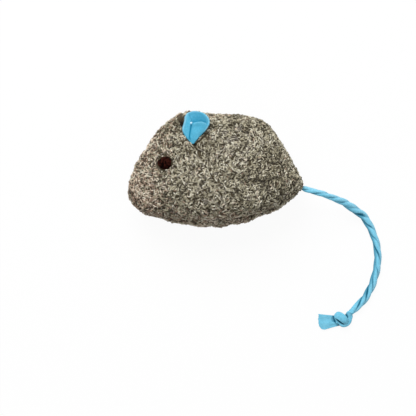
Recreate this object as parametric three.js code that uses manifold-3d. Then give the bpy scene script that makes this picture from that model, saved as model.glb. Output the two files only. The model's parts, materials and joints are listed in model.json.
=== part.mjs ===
// Catnip mouse: a stuffed cat toy that lies on its right side.
// Millimetres, +Z up. +X runs from the nose to the tail and +Y from the belly to the back.
import * as THREE from "three";
import { mergeVertices } from "three/addons/utils/BufferGeometryUtils.js";
import Module from "manifold-3d";

const wasm = await Module();
wasm.setup();

// Clearances
const FIT_GAP = 0.3;
const SEAM_GAP = 0.3;
const FILL_GAP = 0.45;

// Body
const BODY_LENGTH = 87.5;
const BODY_HEIGHT = 57;
const BODY_WIDTH = 42;
const RESTING_FLAT_DEPTH = 0.5;
const FABRIC_THICKNESS = 1.5;
const BELLY_WIDTH = 22;
const BELLY_BULGE = 3;
const HEAD_NARROWING_SHARE = 0.28;
const FLANK_ROUNDING_POWER = 3;

// Lumps, creases and darts of the stuffed cloth
const LUMP_HEIGHT = 1.2;
const LUMP_FADE = 4;
const CREASE_WIDTH = 1.4;
const DART_GROOVE_WIDTH = 1.8;
const DART_LIP_WIDTH = 2.2;
const DART_LIP_HEIGHT = 0.8;

// Stuffing
const WAD_SPLIT_FROM_NOSE = 42;
const CATNIP_LENGTH = 26;
const CATNIP_HEIGHT = 18;
const CATNIP_WIDTH = 15;

// Threads
const THREAD_DIAMETER = 0.6;
const CLOSING_STITCHES = 9;
const CLOSING_STITCH_REACH = 0.9;

// Eyes
const EYE_DIAMETER = 6.3;
const EYE_HEIGHT = 1;

// Ears
const EAR_HEIGHT = 16.9;
const EAR_WIDTH = 13.6;
const EAR_DEPTH = 2.2;
const EAR_RISE_RATIO = 0.4;
const EAR_FALL_RATIO = 0.338;
const FELT_THICKNESS = 1.2;
const EAR_TACK_DIAMETER = 1.3;

// Tail
const TAIL_DIAMETER = 3.5;
const TAIL_SEWN_LENGTH = 9;
const KNOT_STRAND_DIAMETER = 2.6;
const KNOT_STRETCHES = 6;
const FLARE_LENGTH = 8.4;
const FLARE_NECK_WIDTH = 5;
const FLARE_END_WIDTH = 8.2;
const FLARE_THICKNESS = 1.5;

// Places on the side of the body: share of the length from the nose, share of the height from the belly
const OUTLINE_SHARES = [
  [0, 0.32], [0.034, 0.51], [0.091, 0.667], [0.194, 0.877], [0.314, 1], [0.5, 0.98],
  [0.674, 0.965], [0.79, 0.9], [0.88, 0.719], [0.949, 0.535], [1, 0.36], [0.949, 0.246],
  [0.811, 0.114], [0.64, 0.026], [0.44, 0], [0.24, 0.045], [0.08, 0.118], [0.017, 0.21],
];
const FLANK_CENTRE_SHARES = [0.51, 0.46];
const CHIN_SHARES = [0.017, 0.21];
const TAIL_ROOT_SHARES = [1, 0.335];
const EYE_SHARES = [0.215, 0.547];
const EAR_BASE_SHARES = [0.373, 0.705];
const DART_SHARES = [[0.311, 0.841], [0.35, 0.748], [0.38, 0.693], [0.418, 0.613], [0.446, 0.519]];
const DART_MOUTH_SHARES = [[0.32, 0.985], [0.304, 0.964], [0.29, 0.931], [0.292, 0.895], [0.299, 0.868]];
const CREASE_SHARES = [
  [[0.623, 0.405], [0.68, 0.384], [0.766, 0.395], [0.869, 0.419]],
  [[0.138, 0.483], [0.166, 0.476], [0.195, 0.479]],
];

// Waves of the lumps: direction in degrees, spacing, start in radians
const LUMP_WAVES = [[15, 15, 0.4], [78, 13, 2.1], [139, 17, 4.4]];

// Ear cut: share of the ear's width to the left and right edge, share of its height
const EAR_CUT_SHARES = [
  [-0.06, 0.06, 0.05], [-0.16, 0.15, 0.13], [-0.29, 0.27, 0.25], [-0.36, 0.41, 0.36], [-0.385, 0.52, 0.465],
  [-0.34, 0.61, 0.595], [-0.305, 0.61, 0.71], [-0.29, 0.54, 0.825], [-0.21, 0.4, 0.93], [-0.04, 0.19, 0.99],
];
const EAR_RIM_SHARE = 0.64;
const EAR_LEFT_FOLD_SHARE = 0.88;
const EAR_CREASE_SHARES = [[-0.04, 0.05], [-0.15, 0.15], [-0.06, 0.66], [-0.09, 0.9]];
const EAR_MIDDLE_SHARES = [0.1, 0.57];

// Route of the tail: steps along X and Y from its root, height above the table
const TAIL_ROUTE = [
  [3.5, -1.3, 20.3], [7.6, -2.3, 19.4], [11.7, -3.5, 17.6], [16.4, -5.3, 14.6], [21.5, -7.3, 10.8],
  [26.6, -10.5, 6.6], [31.8, -14.2, 3.4], [35.2, -19.5, 2.1], [37.7, -25.2, 1.8], [39.1, -31.3, 1.8],
  [39.2, -37.7, 1.8], [38.1, -44.1, 1.8], [35.9, -50.3, 1.8], [32.5, -56.4, 1.8], [27, -62, 1.8],
];

// Knot: steps along X and Y from its middle, height above the table
const KNOT_PLACE = [21.5, -66.7];
const KNOT_ROUTE = [
  [5.3, 4.5, 1.8], [3.4, 2.6, 1.8], [3, 0.7, 1.8], [2.9, -1.4, 2], [1.6, -2.9, 2.3],
  [-0.4, -3, 2.6], [-1.7, -1.9, 2.5], [-3.3, 0.5, 2.3], [-3.2, 2.1, 3.6], [-0.9, 1.2, 4.6],
  [0.8, -0.3, 4.5], [1.7, -1.3, 3.2], [0.7, -1.4, 1.6], [-1.6, -1.2, 1.4], [-3.6, -1, 1.4],
];
const FLARE_DIRECTION_DEG = 184;

// Colours of the cloth, felt and threads
const FABRIC = new THREE.MeshStandardMaterial({ color: 0x8a8470, roughness: 0.95 });
const FELT = new THREE.MeshStandardMaterial({ color: 0x55b3d6, roughness: 0.9 });
const CORD = new THREE.MeshStandardMaterial({ color: 0x74c2e0, roughness: 0.8 });
const EYE_THREAD = new THREE.MeshStandardMaterial({ color: 0x25120b, roughness: 0.6 });
const SEAM_THREAD = new THREE.MeshStandardMaterial({ color: 0x5d5648, roughness: 0.8 });
const WHITE_THREAD = new THREE.MeshStandardMaterial({ color: 0xe8eef0, roughness: 0.8 });
const FIBREFILL = new THREE.MeshStandardMaterial({ color: 0xf2f0ea, roughness: 1 });
const CATNIP = new THREE.MeshStandardMaterial({ color: 0x6f7a43, roughness: 1 });

const MID_HEIGHT = BODY_WIDTH / 2 - RESTING_FLAT_DEPTH;
const HALF_WIDTH = (BODY_WIDTH - SEAM_GAP) / 2;
const FILL_INSET = FABRIC_THICKNESS + FILL_GAP;
const THREAD_INSET = FABRIC_THICKNESS + FIT_GAP + THREAD_DIAMETER / 2;
const TAIL_HOLE_DIAMETER = TAIL_DIAMETER + 2 * FIT_GAP;
const TURN = 2 * Math.PI;

// Numbers of points that the cloth and the stuffing are drawn with
const PANEL_SPOKES = 52;
const PANEL_RINGS = 10;
const FILL_SPOKES = 48;
const FILL_RINGS = 7;
const BELLY_COLUMNS = 6;
const BELLY_ROWS = 26;
const spokes = (count) => Array.from({ length: count }, (_, k) => (k * TURN) / count);
const rings = (count) => Array.from({ length: count }, (_, k) => Math.sin(((k + 1) * Math.PI) / (2 * count)));

const steps = (from, to, count) =>
  Array.from({ length: count + 1 }, (_, k) => from + ((to - from) * k) / count);

// Outline of the body seen from the side, as a distance from the centre of the flank
const onBody = ([along, up]) =>
  new THREE.Vector3((along - 0.5) * BODY_LENGTH, (up - 0.5) * BODY_HEIGHT, 0);
const centre = onBody(FLANK_CENTRE_SHARES);
const angleOf = (point) => (Math.atan2(point.y - centre.y, point.x - centre.x) + TURN) % TURN;
const outline = new THREE.CatmullRomCurve3(OUTLINE_SHARES.map(onBody), true, "centripetal");
const rimPoints = outline
  .getSpacedPoints(360)
  .slice(0, -1)
  .map((point) => ({ angle: angleOf(point), radius: point.distanceTo(centre) }))
  .sort((a, b) => a.angle - b.angle);

function rim(angle) {
  const turned = (angle + TURN) % TURN;
  const after = rimPoints.findIndex((point) => point.angle >= turned);
  const upper = rimPoints[Math.max(after, 0)];
  const lower = rimPoints.at((after < 1 ? 0 : after) - 1);
  const span = (upper.angle - lower.angle + TURN) % TURN;
  const share = ((turned - lower.angle + TURN) % TURN) / span;
  return lower.radius + (upper.radius - lower.radius) * share;
}

// Belly panel: widest in the middle, pointed at the chin and at the tail
const chinAngle = angleOf(onBody(CHIN_SHARES));
const rumpAngle = angleOf(onBody(TAIL_ROOT_SHARES));

function bellyShare(angle) {
  const turned = (angle + TURN) % TURN;
  const along = (2 * turned - chinAngle - rumpAngle) / (rumpAngle - chinAngle);
  return Math.max(0, 1 - along * along);
}

const bellyAngle = (along) => (chinAngle + rumpAngle + along * (rumpAngle - chinAngle)) / 2;

// Flank: x, y and height above the middle plane at a share r of the way to the seam
function flank(angle, r, inset) {
  const belly = bellyShare(angle);
  const edge = (belly * BELLY_WIDTH) / 2;
  const radius = r * (rim(angle) - belly * BELLY_BULGE - inset);
  const x = centre.x + radius * Math.cos(angle);
  const y = centre.y + radius * Math.sin(angle);
  const narrowing = HEAD_NARROWING_SHARE * (1 - THREE.MathUtils.smoothstep(x, -BODY_LENGTH / 2, 0));
  const crown = (HALF_WIDTH - inset) * (1 - narrowing);
  const height = edge + (crown - edge) * Math.sqrt(1 - r ** FLANK_ROUNDING_POWER);
  return new THREE.Vector3(x, y, height + SEAM_GAP / 2);
}

function flankAt(x, y) {
  const angle = Math.atan2(y - centre.y, x - centre.x);
  const reach = rim(angle) - bellyShare(angle) * BELLY_BULGE;
  const share = Math.min(1, Math.hypot(x - centre.x, y - centre.y) / reach);
  return new THREE.Vector3(x, y, MID_HEIGHT + flank(angle, share, 0).z);
}

function flankNormal(x, y) {
  const slopeX = flankAt(x + 0.5, y).z - flankAt(x - 0.5, y).z;
  const slopeY = flankAt(x, y + 0.5).z - flankAt(x, y - 0.5).z;
  return new THREE.Vector3(-slopeX, -slopeY, 1).normalize();
}

// Closed surface through rings of points, from a first point to a last one
function closedSurface(first, rings, last) {
  const count = rings[0].length;
  const points = [first, ...rings.flat(), last];
  const index = [];
  for (let k = 0; k < count; k++) {
    const next = (k + 1) % count;
    index.push(0, 1 + k, 1 + next);
    for (let ring = 0; ring + 1 < rings.length; ring++) {
      const here = 1 + ring * count;
      const there = here + count;
      index.push(here + k, there + k, there + next, here + k, there + next, here + next);
    }
    const end = 1 + (rings.length - 1) * count;
    index.push(end + k, points.length - 1, end + next);
  }
  return outwardGeometry(points, index);
}

// Surface moved along its normal
function offset(surface, distance) {
  const step = 0.01;
  return (u, v) => {
    const alongU = surface(u + step, v).sub(surface(u - step, v));
    const alongV = surface(u, v + step).sub(surface(u, v - step));
    return surface(u, v).addScaledVector(alongU.cross(alongV).normalize(), distance);
  };
}

// Closed plate between an outer and an inner surface
function plate(outer, inner, across, along) {
  const grid = (surface) =>
    steps(0, 1, along).flatMap((v) => steps(0, 1, across).map((u) => surface(u, v)));
  const row = across + 1;
  const under = row * (along + 1);
  const index = [];
  const quad = (a, b, c, d) => index.push(a, b, c, a, c, d);
  for (let b = 0; b < along; b++) {
    const left = b * row;
    const right = left + across;
    for (let k = left; k < right; k++) {
      quad(k, k + 1, k + 1 + row, k + row);
      quad(under + k, under + k + row, under + k + 1 + row, under + k + 1);
    }
    quad(left, left + row, under + left + row, under + left);
    quad(right, under + right, under + right + row, right + row);
  }
  for (let a = 0; a < across; a++) {
    const top = along * row + a;
    quad(a, under + a, under + a + 1, a + 1);
    quad(top, top + 1, under + top + 1, under + top);
  }
  return outwardGeometry([...grid(outer), ...grid(inner)], index);
}

function outwardGeometry(points, index) {
  let volume = 0;
  for (let k = 0; k < index.length; k += 3) {
    const [a, b, c] = [points[index[k]], points[index[k + 1]], points[index[k + 2]]];
    volume += a.dot(b.clone().cross(c));
  }
  const geometry = new THREE.BufferGeometry().setFromPoints(points);
  geometry.setIndex(volume > 0 ? index : index.toReversed());
  geometry.computeVertexNormals();
  return geometry;
}

// Round cord along a curve
function tube(curve, diameter, sides, steps) {
  const corners = Array.from({ length: sides }, (_, k) => {
    const angle = (k * TURN) / sides;
    return new THREE.Vector2(Math.cos(angle), Math.sin(angle)).multiplyScalar(diameter / 2);
  });
  return new THREE.ExtrudeGeometry(new THREE.Shape(corners), { steps, extrudePath: curve });
}

const smooth = (points) => new THREE.CatmullRomCurve3(points, false, "centripetal");
const ball = (diameter, place, sides) =>
  new THREE.SphereGeometry(diameter / 2, sides, sides / 2).translate(place.x, place.y, place.z);

// Joining and cutting
function solid(geometry) {
  const bare = new THREE.BufferGeometry();
  bare.setAttribute("position", geometry.getAttribute("position"));
  bare.setIndex(geometry.getIndex());
  const merged = mergeVertices(bare, 1e-4);
  const corners = Array.from(merged.getIndex().array);
  const faces = [];
  for (let k = 0; k < corners.length; k += 3) {
    const face = corners.slice(k, k + 3);
    if (new Set(face).size === 3) faces.push(...face);
  }
  const vertProperties = Float32Array.from(merged.getAttribute("position").array);
  return new wasm.Manifold(new wasm.Mesh({ numProp: 3, vertProperties, triVerts: Uint32Array.from(faces) }));
}

function geometryOf(manifold) {
  const mesh = manifold.getMesh();
  const geometry = new THREE.BufferGeometry();
  geometry.setAttribute("position", new THREE.BufferAttribute(mesh.vertProperties, 3));
  geometry.setIndex(new THREE.BufferAttribute(mesh.triVerts, 1));
  geometry.computeVertexNormals();
  return geometry;
}

const joined = (...geometries) => geometryOf(wasm.Manifold.union(geometries.map(solid)));
const cut = (geometry, ...cutters) =>
  geometryOf(wasm.Manifold.difference([geometry, ...cutters].map(solid)));

const mouse = new THREE.Group();
mouse.name = "catnip_mouse";
const leftSide = new THREE.Group();
const rightSide = new THREE.Group();
rightSide.scale.z = -1;
rightSide.position.z = 2 * MID_HEIGHT;
mouse.add(leftSide, rightSide);

function add(parent, name, geometry, material) {
  const mesh = new THREE.Mesh(geometry, material);
  mesh.name = name;
  parent.add(mesh);
  return mesh;
}

// Tail root and the hole that the tail leaves the body by
const rootAngle = angleOf(onBody(TAIL_ROOT_SHARES));
const tailRoot = new THREE.Vector3(
  centre.x + rim(rootAngle) * Math.cos(rootAngle),
  centre.y + rim(rootAngle) * Math.sin(rootAngle),
  MID_HEIGHT,
);
const insideTail = (length) => tailRoot.clone().add(new THREE.Vector3(-length, 0, 0));
const tailHole = joined(
  ball(TAIL_HOLE_DIAMETER, tailRoot, 16),
  tube(new THREE.LineCurve3(insideTail(TAIL_SEWN_LENGTH + FIT_GAP), tailRoot), TAIL_HOLE_DIAMETER, 16, 1),
);

// Lumps: none at the seams, under the ear and the eye, at the dart and where the toy is pressed flat
const eyePlace = onBody(EYE_SHARES);
const earPlace = onBody(EAR_BASE_SHARES);
const earMiddle = earPlace
  .clone()
  .add(new THREE.Vector3(EAR_MIDDLE_SHARES[0] * EAR_WIDTH, EAR_MIDDLE_SHARES[1] * EAR_HEIGHT, 0));
const dartLine = smooth([...DART_MOUTH_SHARES, ...DART_SHARES].map(onBody));
const dartPoints = dartLine.getPoints(40);
const LUMP_SEAM_SHARES = [0.72, 0.97];
const PRESSED_SHARES = [0.3, 0.6];

function lump(x, y, r, pressed) {
  const place = new THREE.Vector3(x, y, 0);
  const heights = LUMP_WAVES.map(([direction, spacing, start]) => {
    const turn = THREE.MathUtils.degToRad(direction);
    return Math.sin(start + (TURN * (x * Math.cos(turn) + y * Math.sin(turn))) / spacing);
  });
  const mean = heights.reduce((sum, height) => sum + height, 0) / heights.length;
  const clear = (distance, from) => THREE.MathUtils.smoothstep(distance, from, from + LUMP_FADE);
  const seam = 1 - THREE.MathUtils.smoothstep(r, ...LUMP_SEAM_SHARES);
  const eye = clear(place.distanceTo(eyePlace), EYE_DIAMETER / 2 + FIT_GAP);
  const ear = clear(place.distanceTo(earMiddle), 0.6 * EAR_HEIGHT);
  const dart = clear(Math.min(...dartPoints.map((point) => point.distanceTo(place))), DART_LIP_WIDTH);
  const flat = pressed ? THREE.MathUtils.smoothstep(r, ...PRESSED_SHARES) : 1;
  return ((LUMP_HEIGHT * (1 + mean)) / 2) * seam * eye * ear * dart * flat;
}

// Side panels
function sidePanel(pressed) {
  const lift = (point) => point.add(new THREE.Vector3(0, 0, MID_HEIGHT));
  const lumped = (point, r) =>
    point.addScaledVector(flankNormal(point.x, point.y), lump(point.x, point.y, r, pressed));
  const outside = rings(PANEL_RINGS).map((r) =>
    spokes(PANEL_SPOKES).map((angle) => lumped(lift(flank(angle, r, 0)), r)),
  );
  const inside = rings(FILL_RINGS)
    .map((r) => spokes(PANEL_SPOKES).map((angle) => lift(flank(angle, r, FABRIC_THICKNESS))))
    .reverse();
  const crown = lumped(lift(flank(0, 0, 0)), 0);
  return closedSurface(crown, [...outside, ...inside], lift(flank(0, 0, FABRIC_THICKNESS)));
}

// Dart and creases, pressed into the cloth, and the lip in front of the dart's mouth
const onFlank = ({ x, y }, depth) => flankAt(x, y).addScaledVector(flankNormal(x, y), -depth);
const dartGroove = tube(smooth(dartLine.points.map((point) => onFlank(point, 0))), DART_GROOVE_WIDTH, 5, 12);
const creaseGrooves = CREASE_SHARES.map((shares) => {
  const points = shares.map(onBody).map((point) => {
    const r = Math.hypot(point.x - centre.x, point.y - centre.y) / rim(angleOf(point));
    return onFlank(point, -lump(point.x, point.y, r, false));
  });
  return tube(smooth(points), CREASE_WIDTH, 5, 5);
});
const lipPoints = DART_MOUTH_SHARES.slice(1).map(onBody).map((point) => {
  const before = point.clone().add(new THREE.Vector3(-(DART_GROOVE_WIDTH + DART_LIP_WIDTH) / 3, 0, 0));
  return onFlank(before, DART_LIP_WIDTH / 2 - DART_LIP_HEIGHT);
});
const dartLip = tube(smooth(lipPoints), DART_LIP_WIDTH, 6, 5);
const creased = (panel) => cut(joined(panel, dartLip), tailHole, dartGroove, ...creaseGrooves);

const leftPanel = creased(sidePanel(false));
const rightPanel = creased(sidePanel(true)).scale(1, 1, -1).translate(0, 0, 2 * MID_HEIGHT);
rightPanel.setIndex(Array.from(rightPanel.getIndex().array).reverse());
const tableHeight = BODY_WIDTH;
const table = new THREE.BoxGeometry(2 * BODY_LENGTH, 2 * BODY_HEIGHT, tableHeight);
table.translate(0, 0, -tableHeight / 2);
add(mouse, "left_side_panel", leftPanel, FABRIC);
add(mouse, "right_side_panel", cut(rightPanel, table), FABRIC);

// Belly panel
function bellyPoint(angle, across, inset) {
  const belly = bellyShare(angle);
  const radius = rim(angle) - belly * BELLY_BULGE * across * across - inset;
  const height = across * ((belly * BELLY_WIDTH) / 2 - SEAM_GAP / 2);
  return new THREE.Vector3(
    centre.x + radius * Math.cos(angle),
    centre.y + radius * Math.sin(angle),
    MID_HEIGHT + height,
  );
}

const BELLY_PANEL_SHARE = 0.93;
const bellySurface = (inset) => (across, along) =>
  bellyPoint(bellyAngle(BELLY_PANEL_SHARE * (2 * along - 1)), 2 * across - 1, inset);
const bellySides = [bellySurface(0), bellySurface(FABRIC_THICKNESS)];
add(mouse, "belly_panel", plate(...bellySides, BELLY_COLUMNS, BELLY_ROWS), FABRIC);

// Threads of the seams, on the inside of the cloth
const threadPoint = (angle, height) => {
  const radius = rim(angle) - bellyShare(angle) * BELLY_BULGE - THREAD_INSET;
  return new THREE.Vector3(
    centre.x + radius * Math.cos(angle),
    centre.y + radius * Math.sin(angle),
    MID_HEIGHT + height,
  );
};
const SPINE_START_ANGLE = 0.12;
const BELLY_THREAD_SHARE = 0.9;
const spineAngles = steps(rumpAngle - TURN + SPINE_START_ANGLE, chinAngle, 40);
const spineRoute = smooth(spineAngles.map((angle) => threadPoint(angle, 0)));
const bellyRoute = smooth(
  steps(-BELLY_THREAD_SHARE, BELLY_THREAD_SHARE, 28).map((along) => {
    const angle = bellyAngle(along);
    return threadPoint(angle, (bellyShare(angle) * BELLY_WIDTH) / 2);
  }),
);
const dartRoute = smooth(
  DART_SHARES.map(onBody).map(({ x, y }) => flankAt(x, y).addScaledVector(flankNormal(x, y), -THREAD_INSET)),
);
const seamTube = (route, count, clearance) => tube(route, THREAD_DIAMETER + 2 * clearance, 6, count);
add(mouse, "spine_seam_thread", seamTube(spineRoute, 48, 0), SEAM_THREAD);
add(leftSide, "left_belly_seam_thread", seamTube(bellyRoute, 28, 0), SEAM_THREAD);
add(rightSide, "right_belly_seam_thread", seamTube(bellyRoute, 28, 0), SEAM_THREAD);
add(leftSide, "left_dart_thread", seamTube(dartRoute, 8, 0), SEAM_THREAD);
add(rightSide, "right_dart_thread", seamTube(dartRoute, 8, 0), SEAM_THREAD);

// Hand stitches that close the right belly seam, from side to side over the seam
const closingPoints = steps(-0.3, 0.12, 2 * CLOSING_STITCHES).map((along, k) => {
  const angle = bellyAngle(along);
  const belly = bellyShare(angle);
  const seam = (belly * BELLY_WIDTH) / 2;
  const height = k % 2 === 0 ? seam + CLOSING_STITCH_REACH : seam - CLOSING_STITCH_REACH;
  const across = Math.min(1, height / seam);
  const radius = rim(angle) - belly * BELLY_BULGE * across * across + FIT_GAP + THREAD_DIAMETER / 2;
  return new THREE.Vector3(
    centre.x + radius * Math.cos(angle),
    centre.y + radius * Math.sin(angle),
    MID_HEIGHT + height,
  );
});
add(rightSide, "closing_stitch_thread", tube(smooth(closingPoints), THREAD_DIAMETER, 6, 76), SEAM_THREAD);

// Whole body, drawn in by an inset
function bodySolid(inset) {
  const point = (angle, r, side) => {
    const { x, y, z } = flank(angle, r, inset);
    return new THREE.Vector3(x, y, MID_HEIGHT + side * z);
  };
  const angles = spokes(FILL_SPOKES);
  const half = (side) => rings(FILL_RINGS).map((r) => angles.map((angle) => point(angle, r, side)));
  const edgeAt = (angle) => (bellyShare(angle) * BELLY_WIDTH + SEAM_GAP) / 2;
  const bridge = [0.5, 0, -0.5].map((across) =>
    angles.map((angle) => bellyPoint(angle, across, inset).setZ(MID_HEIGHT + across * edgeAt(angle))),
  );
  return closedSurface(point(0, 0, 1), [...half(1), ...bridge, ...half(-1).reverse()], point(0, 0, -1));
}

// Stuffing in two wads about the catnip
const grooves = [bellyRoute, dartRoute].flatMap((route) => {
  const groove = seamTube(route, route === dartRoute ? 8 : 28, FIT_GAP);
  const mirrored = groove.clone().scale(1, 1, -1).translate(0, 0, 2 * MID_HEIGHT);
  const bare = new THREE.BufferGeometry().setAttribute("position", mirrored.getAttribute("position"));
  bare.setIndex(Array.from({ length: mirrored.getAttribute("position").count }, (_, k) => k).reverse());
  return [groove, bare];
});
const catnipGeometry = (clearance) =>
  new THREE.SphereGeometry(1, 24, 14)
    .scale(CATNIP_LENGTH / 2 + clearance, CATNIP_HEIGHT / 2 + clearance, CATNIP_WIDTH / 2 + clearance)
    .translate(WAD_SPLIT_FROM_NOSE - BODY_LENGTH / 2, centre.y, MID_HEIGHT);
const fill = cut(
  bodySolid(FILL_INSET),
  seamTube(spineRoute, 48, FIT_GAP),
  ...grooves,
  tailHole,
  catnipGeometry(FIT_GAP),
);
const beyondSplit = (side) =>
  new THREE.BoxGeometry(2 * BODY_LENGTH, 2 * BODY_HEIGHT, 2 * BODY_WIDTH).translate(
    WAD_SPLIT_FROM_NOSE - BODY_LENGTH / 2 + side * (BODY_LENGTH - FIT_GAP / 2),
    0,
    MID_HEIGHT,
  );
add(mouse, "head_stuffing", cut(fill, beyondSplit(1)), FIBREFILL);
add(mouse, "body_stuffing", cut(fill, beyondSplit(-1)), FIBREFILL);
add(mouse, "catnip_charge", catnipGeometry(0), CATNIP);

// Eyes: low domes of satin stitch
const eyeProfile = [[0, 0], [1, 0], [0.86, 0.5], [0.5, 0.87], [0, 1]].map(
  ([out, up]) => new THREE.Vector2((out * EYE_DIAMETER) / 2, up * EYE_HEIGHT),
);
const eyeNormal = flankNormal(eyePlace.x, eyePlace.y);
for (const [side, name] of [[leftSide, "left_eye"], [rightSide, "right_eye"]]) {
  const eye = add(side, name, new THREE.LatheGeometry(eyeProfile, 20), EYE_THREAD);
  eye.position.copy(flankAt(eyePlace.x, eyePlace.y).addScaledVector(eyeNormal, FIT_GAP));
  eye.quaternion.setFromUnitVectors(new THREE.Vector3(0, 1, 0), eyeNormal);
}

// Ears: a back, a left fold over its whole height and a right fold up to the rim
const earCurve = (points) =>
  smooth(points.map(([out, up]) => new THREE.Vector3(out * EAR_WIDTH, up * EAR_HEIGHT, 0)));
const earLeft = earCurve(EAR_CUT_SHARES.map(([left, , up]) => [left, up]));
const earRight = earCurve(EAR_CUT_SHARES.map(([, right, up]) => [right, up]));
const earCrease = earCurve(EAR_CREASE_SHARES);
const earBase = flankAt(earPlace.x, earPlace.y);
const held = (share) => THREE.MathUtils.clamp(share, 0, 1);
const swell = (v) => Math.sin((held(v / EAR_RIM_SHARE) * Math.PI) / 2);
const onEar = ({ x, y }, lift) =>
  new THREE.Vector3(x, y, lift + EAR_RISE_RATIO * x - EAR_FALL_RATIO * y).add(earBase);
const earBack = (u, v) => {
  const point = earLeft.getPoint(held(v)).lerp(earRight.getPoint(held(v)), u);
  return onEar(point, -0.4 * EAR_DEPTH * swell(v) * Math.sin(held(u) * Math.PI));
};
const earFold = (edge, rise) => (u, v) => {
  const point = edge.getPoint(held(v)).lerp(earCrease.getPoint(held(v)), u);
  return onEar(point, rise * EAR_DEPTH * swell(v) * Math.sin((u * Math.PI) / 2));
};
const earLeftFold = (u, v) => earFold(earLeft, 1)(u, v * EAR_LEFT_FOLD_SHARE);
const earRightFold = (u, v) => earFold(earRight, 0.8)(u, v * EAR_RIM_SHARE);
const felt = (surface, across, along) =>
  plate(offset(surface, FELT_THICKNESS / 2), offset(surface, -FELT_THICKNESS / 2), across, along);
const earPlates = [felt(earBack, 6, 10), felt(earLeftFold, 3, 9), felt(earRightFold, 4, 6)];
const ear = cut(joined(...earPlates), bodySolid(-FIT_GAP));
const tackLift = EAR_DEPTH + FELT_THICKNESS / 2 + FIT_GAP + EAR_TACK_DIAMETER / 2;
const tack = ball(EAR_TACK_DIAMETER, onEar(earCrease.getPoint(EAR_RIM_SHARE), tackLift), 12);
for (const [side, name] of [[leftSide, "left_ear"], [rightSide, "right_ear"]]) {
  add(side, name, ear, FELT);
  add(side, `${name}_tack`, tack, WHITE_THREAD);
}

// Tail: the cord, its knot, the flared end beyond it and the end sewn into the rump
const fromRoot = ([x, y, height]) => new THREE.Vector3(tailRoot.x + x, tailRoot.y + y, height);
const tailRoute = smooth([tailRoot, ...TAIL_ROUTE.map(fromRoot)]);
const fromKnot = ([x, y, height]) => fromRoot([KNOT_PLACE[0] + x, KNOT_PLACE[1] + y, height]);
const knotRoute = smooth(KNOT_ROUTE.map(fromKnot));
function knotSolid(clearance) {
  const diameter = KNOT_STRAND_DIAMETER + 2 * clearance;
  const stretches = Array.from({ length: KNOT_STRETCHES }, (_, k) => {
    const places = steps(k / KNOT_STRETCHES, (k + 1) / KNOT_STRETCHES, 4);
    return tube(smooth(places.map((share) => knotRoute.getPoint(share))), diameter, 8, 4);
  });
  const bends = steps(0, 1, KNOT_STRETCHES)
    .slice(1, -1)
    .map((share) => ball(diameter, knotRoute.getPoint(share), 8));
  return joined(...stretches, ...bends);
}

const tailCord = joined(ball(TAIL_DIAMETER, tailRoot, 12), tube(tailRoute, TAIL_DIAMETER, 8, 34));
add(mouse, "tail_cord", tailCord, CORD);
add(mouse, "tail_knot", knotSolid(0), CORD);

const flareStart = knotRoute.getPoint(1);
const flareSurface = (u, v) => {
  const width = FLARE_NECK_WIDTH + (FLARE_END_WIDTH - FLARE_NECK_WIDTH) * held(v) ** 1.3;
  const drop = (flareStart.z - FLARE_THICKNESS / 2 - FIT_GAP) * THREE.MathUtils.smoothstep(v, 0, 1);
  return new THREE.Vector3(FIT_GAP + v * FLARE_LENGTH, (u - 0.5) * width, -drop);
};
const flareSides = [0.5, -0.5].map((side) => offset(flareSurface, side * FLARE_THICKNESS));
const flare = plate(...flareSides, 6, 8)
  .rotateZ(THREE.MathUtils.degToRad(FLARE_DIRECTION_DEG))
  .translate(flareStart.x, flareStart.y, flareStart.z);
add(mouse, "tail_flared_end", cut(flare, knotSolid(FIT_GAP)), CORD);

const sewnStart = insideTail(TAIL_HOLE_DIAMETER / 2 + FIT_GAP);
const sewnEnd = tube(new THREE.LineCurve3(insideTail(TAIL_SEWN_LENGTH), sewnStart), TAIL_DIAMETER, 12, 1);
add(mouse, "tail_sewn_end", sewnEnd, CORD);

// Origin at the middle of the foot of the body and ears, on the table
const extent = new THREE.Box3();
mouse.updateMatrixWorld(true);
for (const name of ["left_side_panel", "right_side_panel", "belly_panel", "left_ear", "right_ear"]) {
  extent.expandByObject(mouse.getObjectByName(name), true);
}
const foot = extent.getCenter(new THREE.Vector3());
mouse.position.set(-foot.x, -foot.y, -extent.min.z);

export default mouse;
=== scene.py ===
import json
import math

import bpy
import numpy as np
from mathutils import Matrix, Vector
from mathutils.bvhtree import BVHTree


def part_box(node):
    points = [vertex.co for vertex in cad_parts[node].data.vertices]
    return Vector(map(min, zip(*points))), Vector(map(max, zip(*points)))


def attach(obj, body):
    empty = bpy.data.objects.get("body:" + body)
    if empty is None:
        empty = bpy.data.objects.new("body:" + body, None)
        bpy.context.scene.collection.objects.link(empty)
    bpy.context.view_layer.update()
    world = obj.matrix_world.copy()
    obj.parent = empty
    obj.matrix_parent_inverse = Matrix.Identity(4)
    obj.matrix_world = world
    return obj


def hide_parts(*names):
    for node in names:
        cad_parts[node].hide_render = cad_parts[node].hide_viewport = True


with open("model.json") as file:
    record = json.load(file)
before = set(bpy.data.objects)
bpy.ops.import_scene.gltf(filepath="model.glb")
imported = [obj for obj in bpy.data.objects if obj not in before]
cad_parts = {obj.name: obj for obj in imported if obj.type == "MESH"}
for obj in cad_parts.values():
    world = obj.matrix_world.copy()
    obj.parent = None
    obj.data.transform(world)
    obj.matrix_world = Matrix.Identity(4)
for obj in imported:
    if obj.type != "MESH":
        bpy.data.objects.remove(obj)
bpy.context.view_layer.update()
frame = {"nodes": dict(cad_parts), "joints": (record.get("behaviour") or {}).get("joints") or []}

# Sizes of the toy in millimetres, as in its solids
BODY_LENGTH = 87.5
BODY_HEIGHT = 57
BODY_WIDTH = 42
RESTING_FLAT_DEPTH = 0.5
SEAM_GAP = 0.3
FIT_GAP = 0.3
BELLY_WIDTH = 22
BELLY_BULGE = 3
HEAD_NARROWING_SHARE = 0.28
FLANK_ROUNDING_POWER = 3
LUMP_HEIGHT = 1.2
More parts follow.
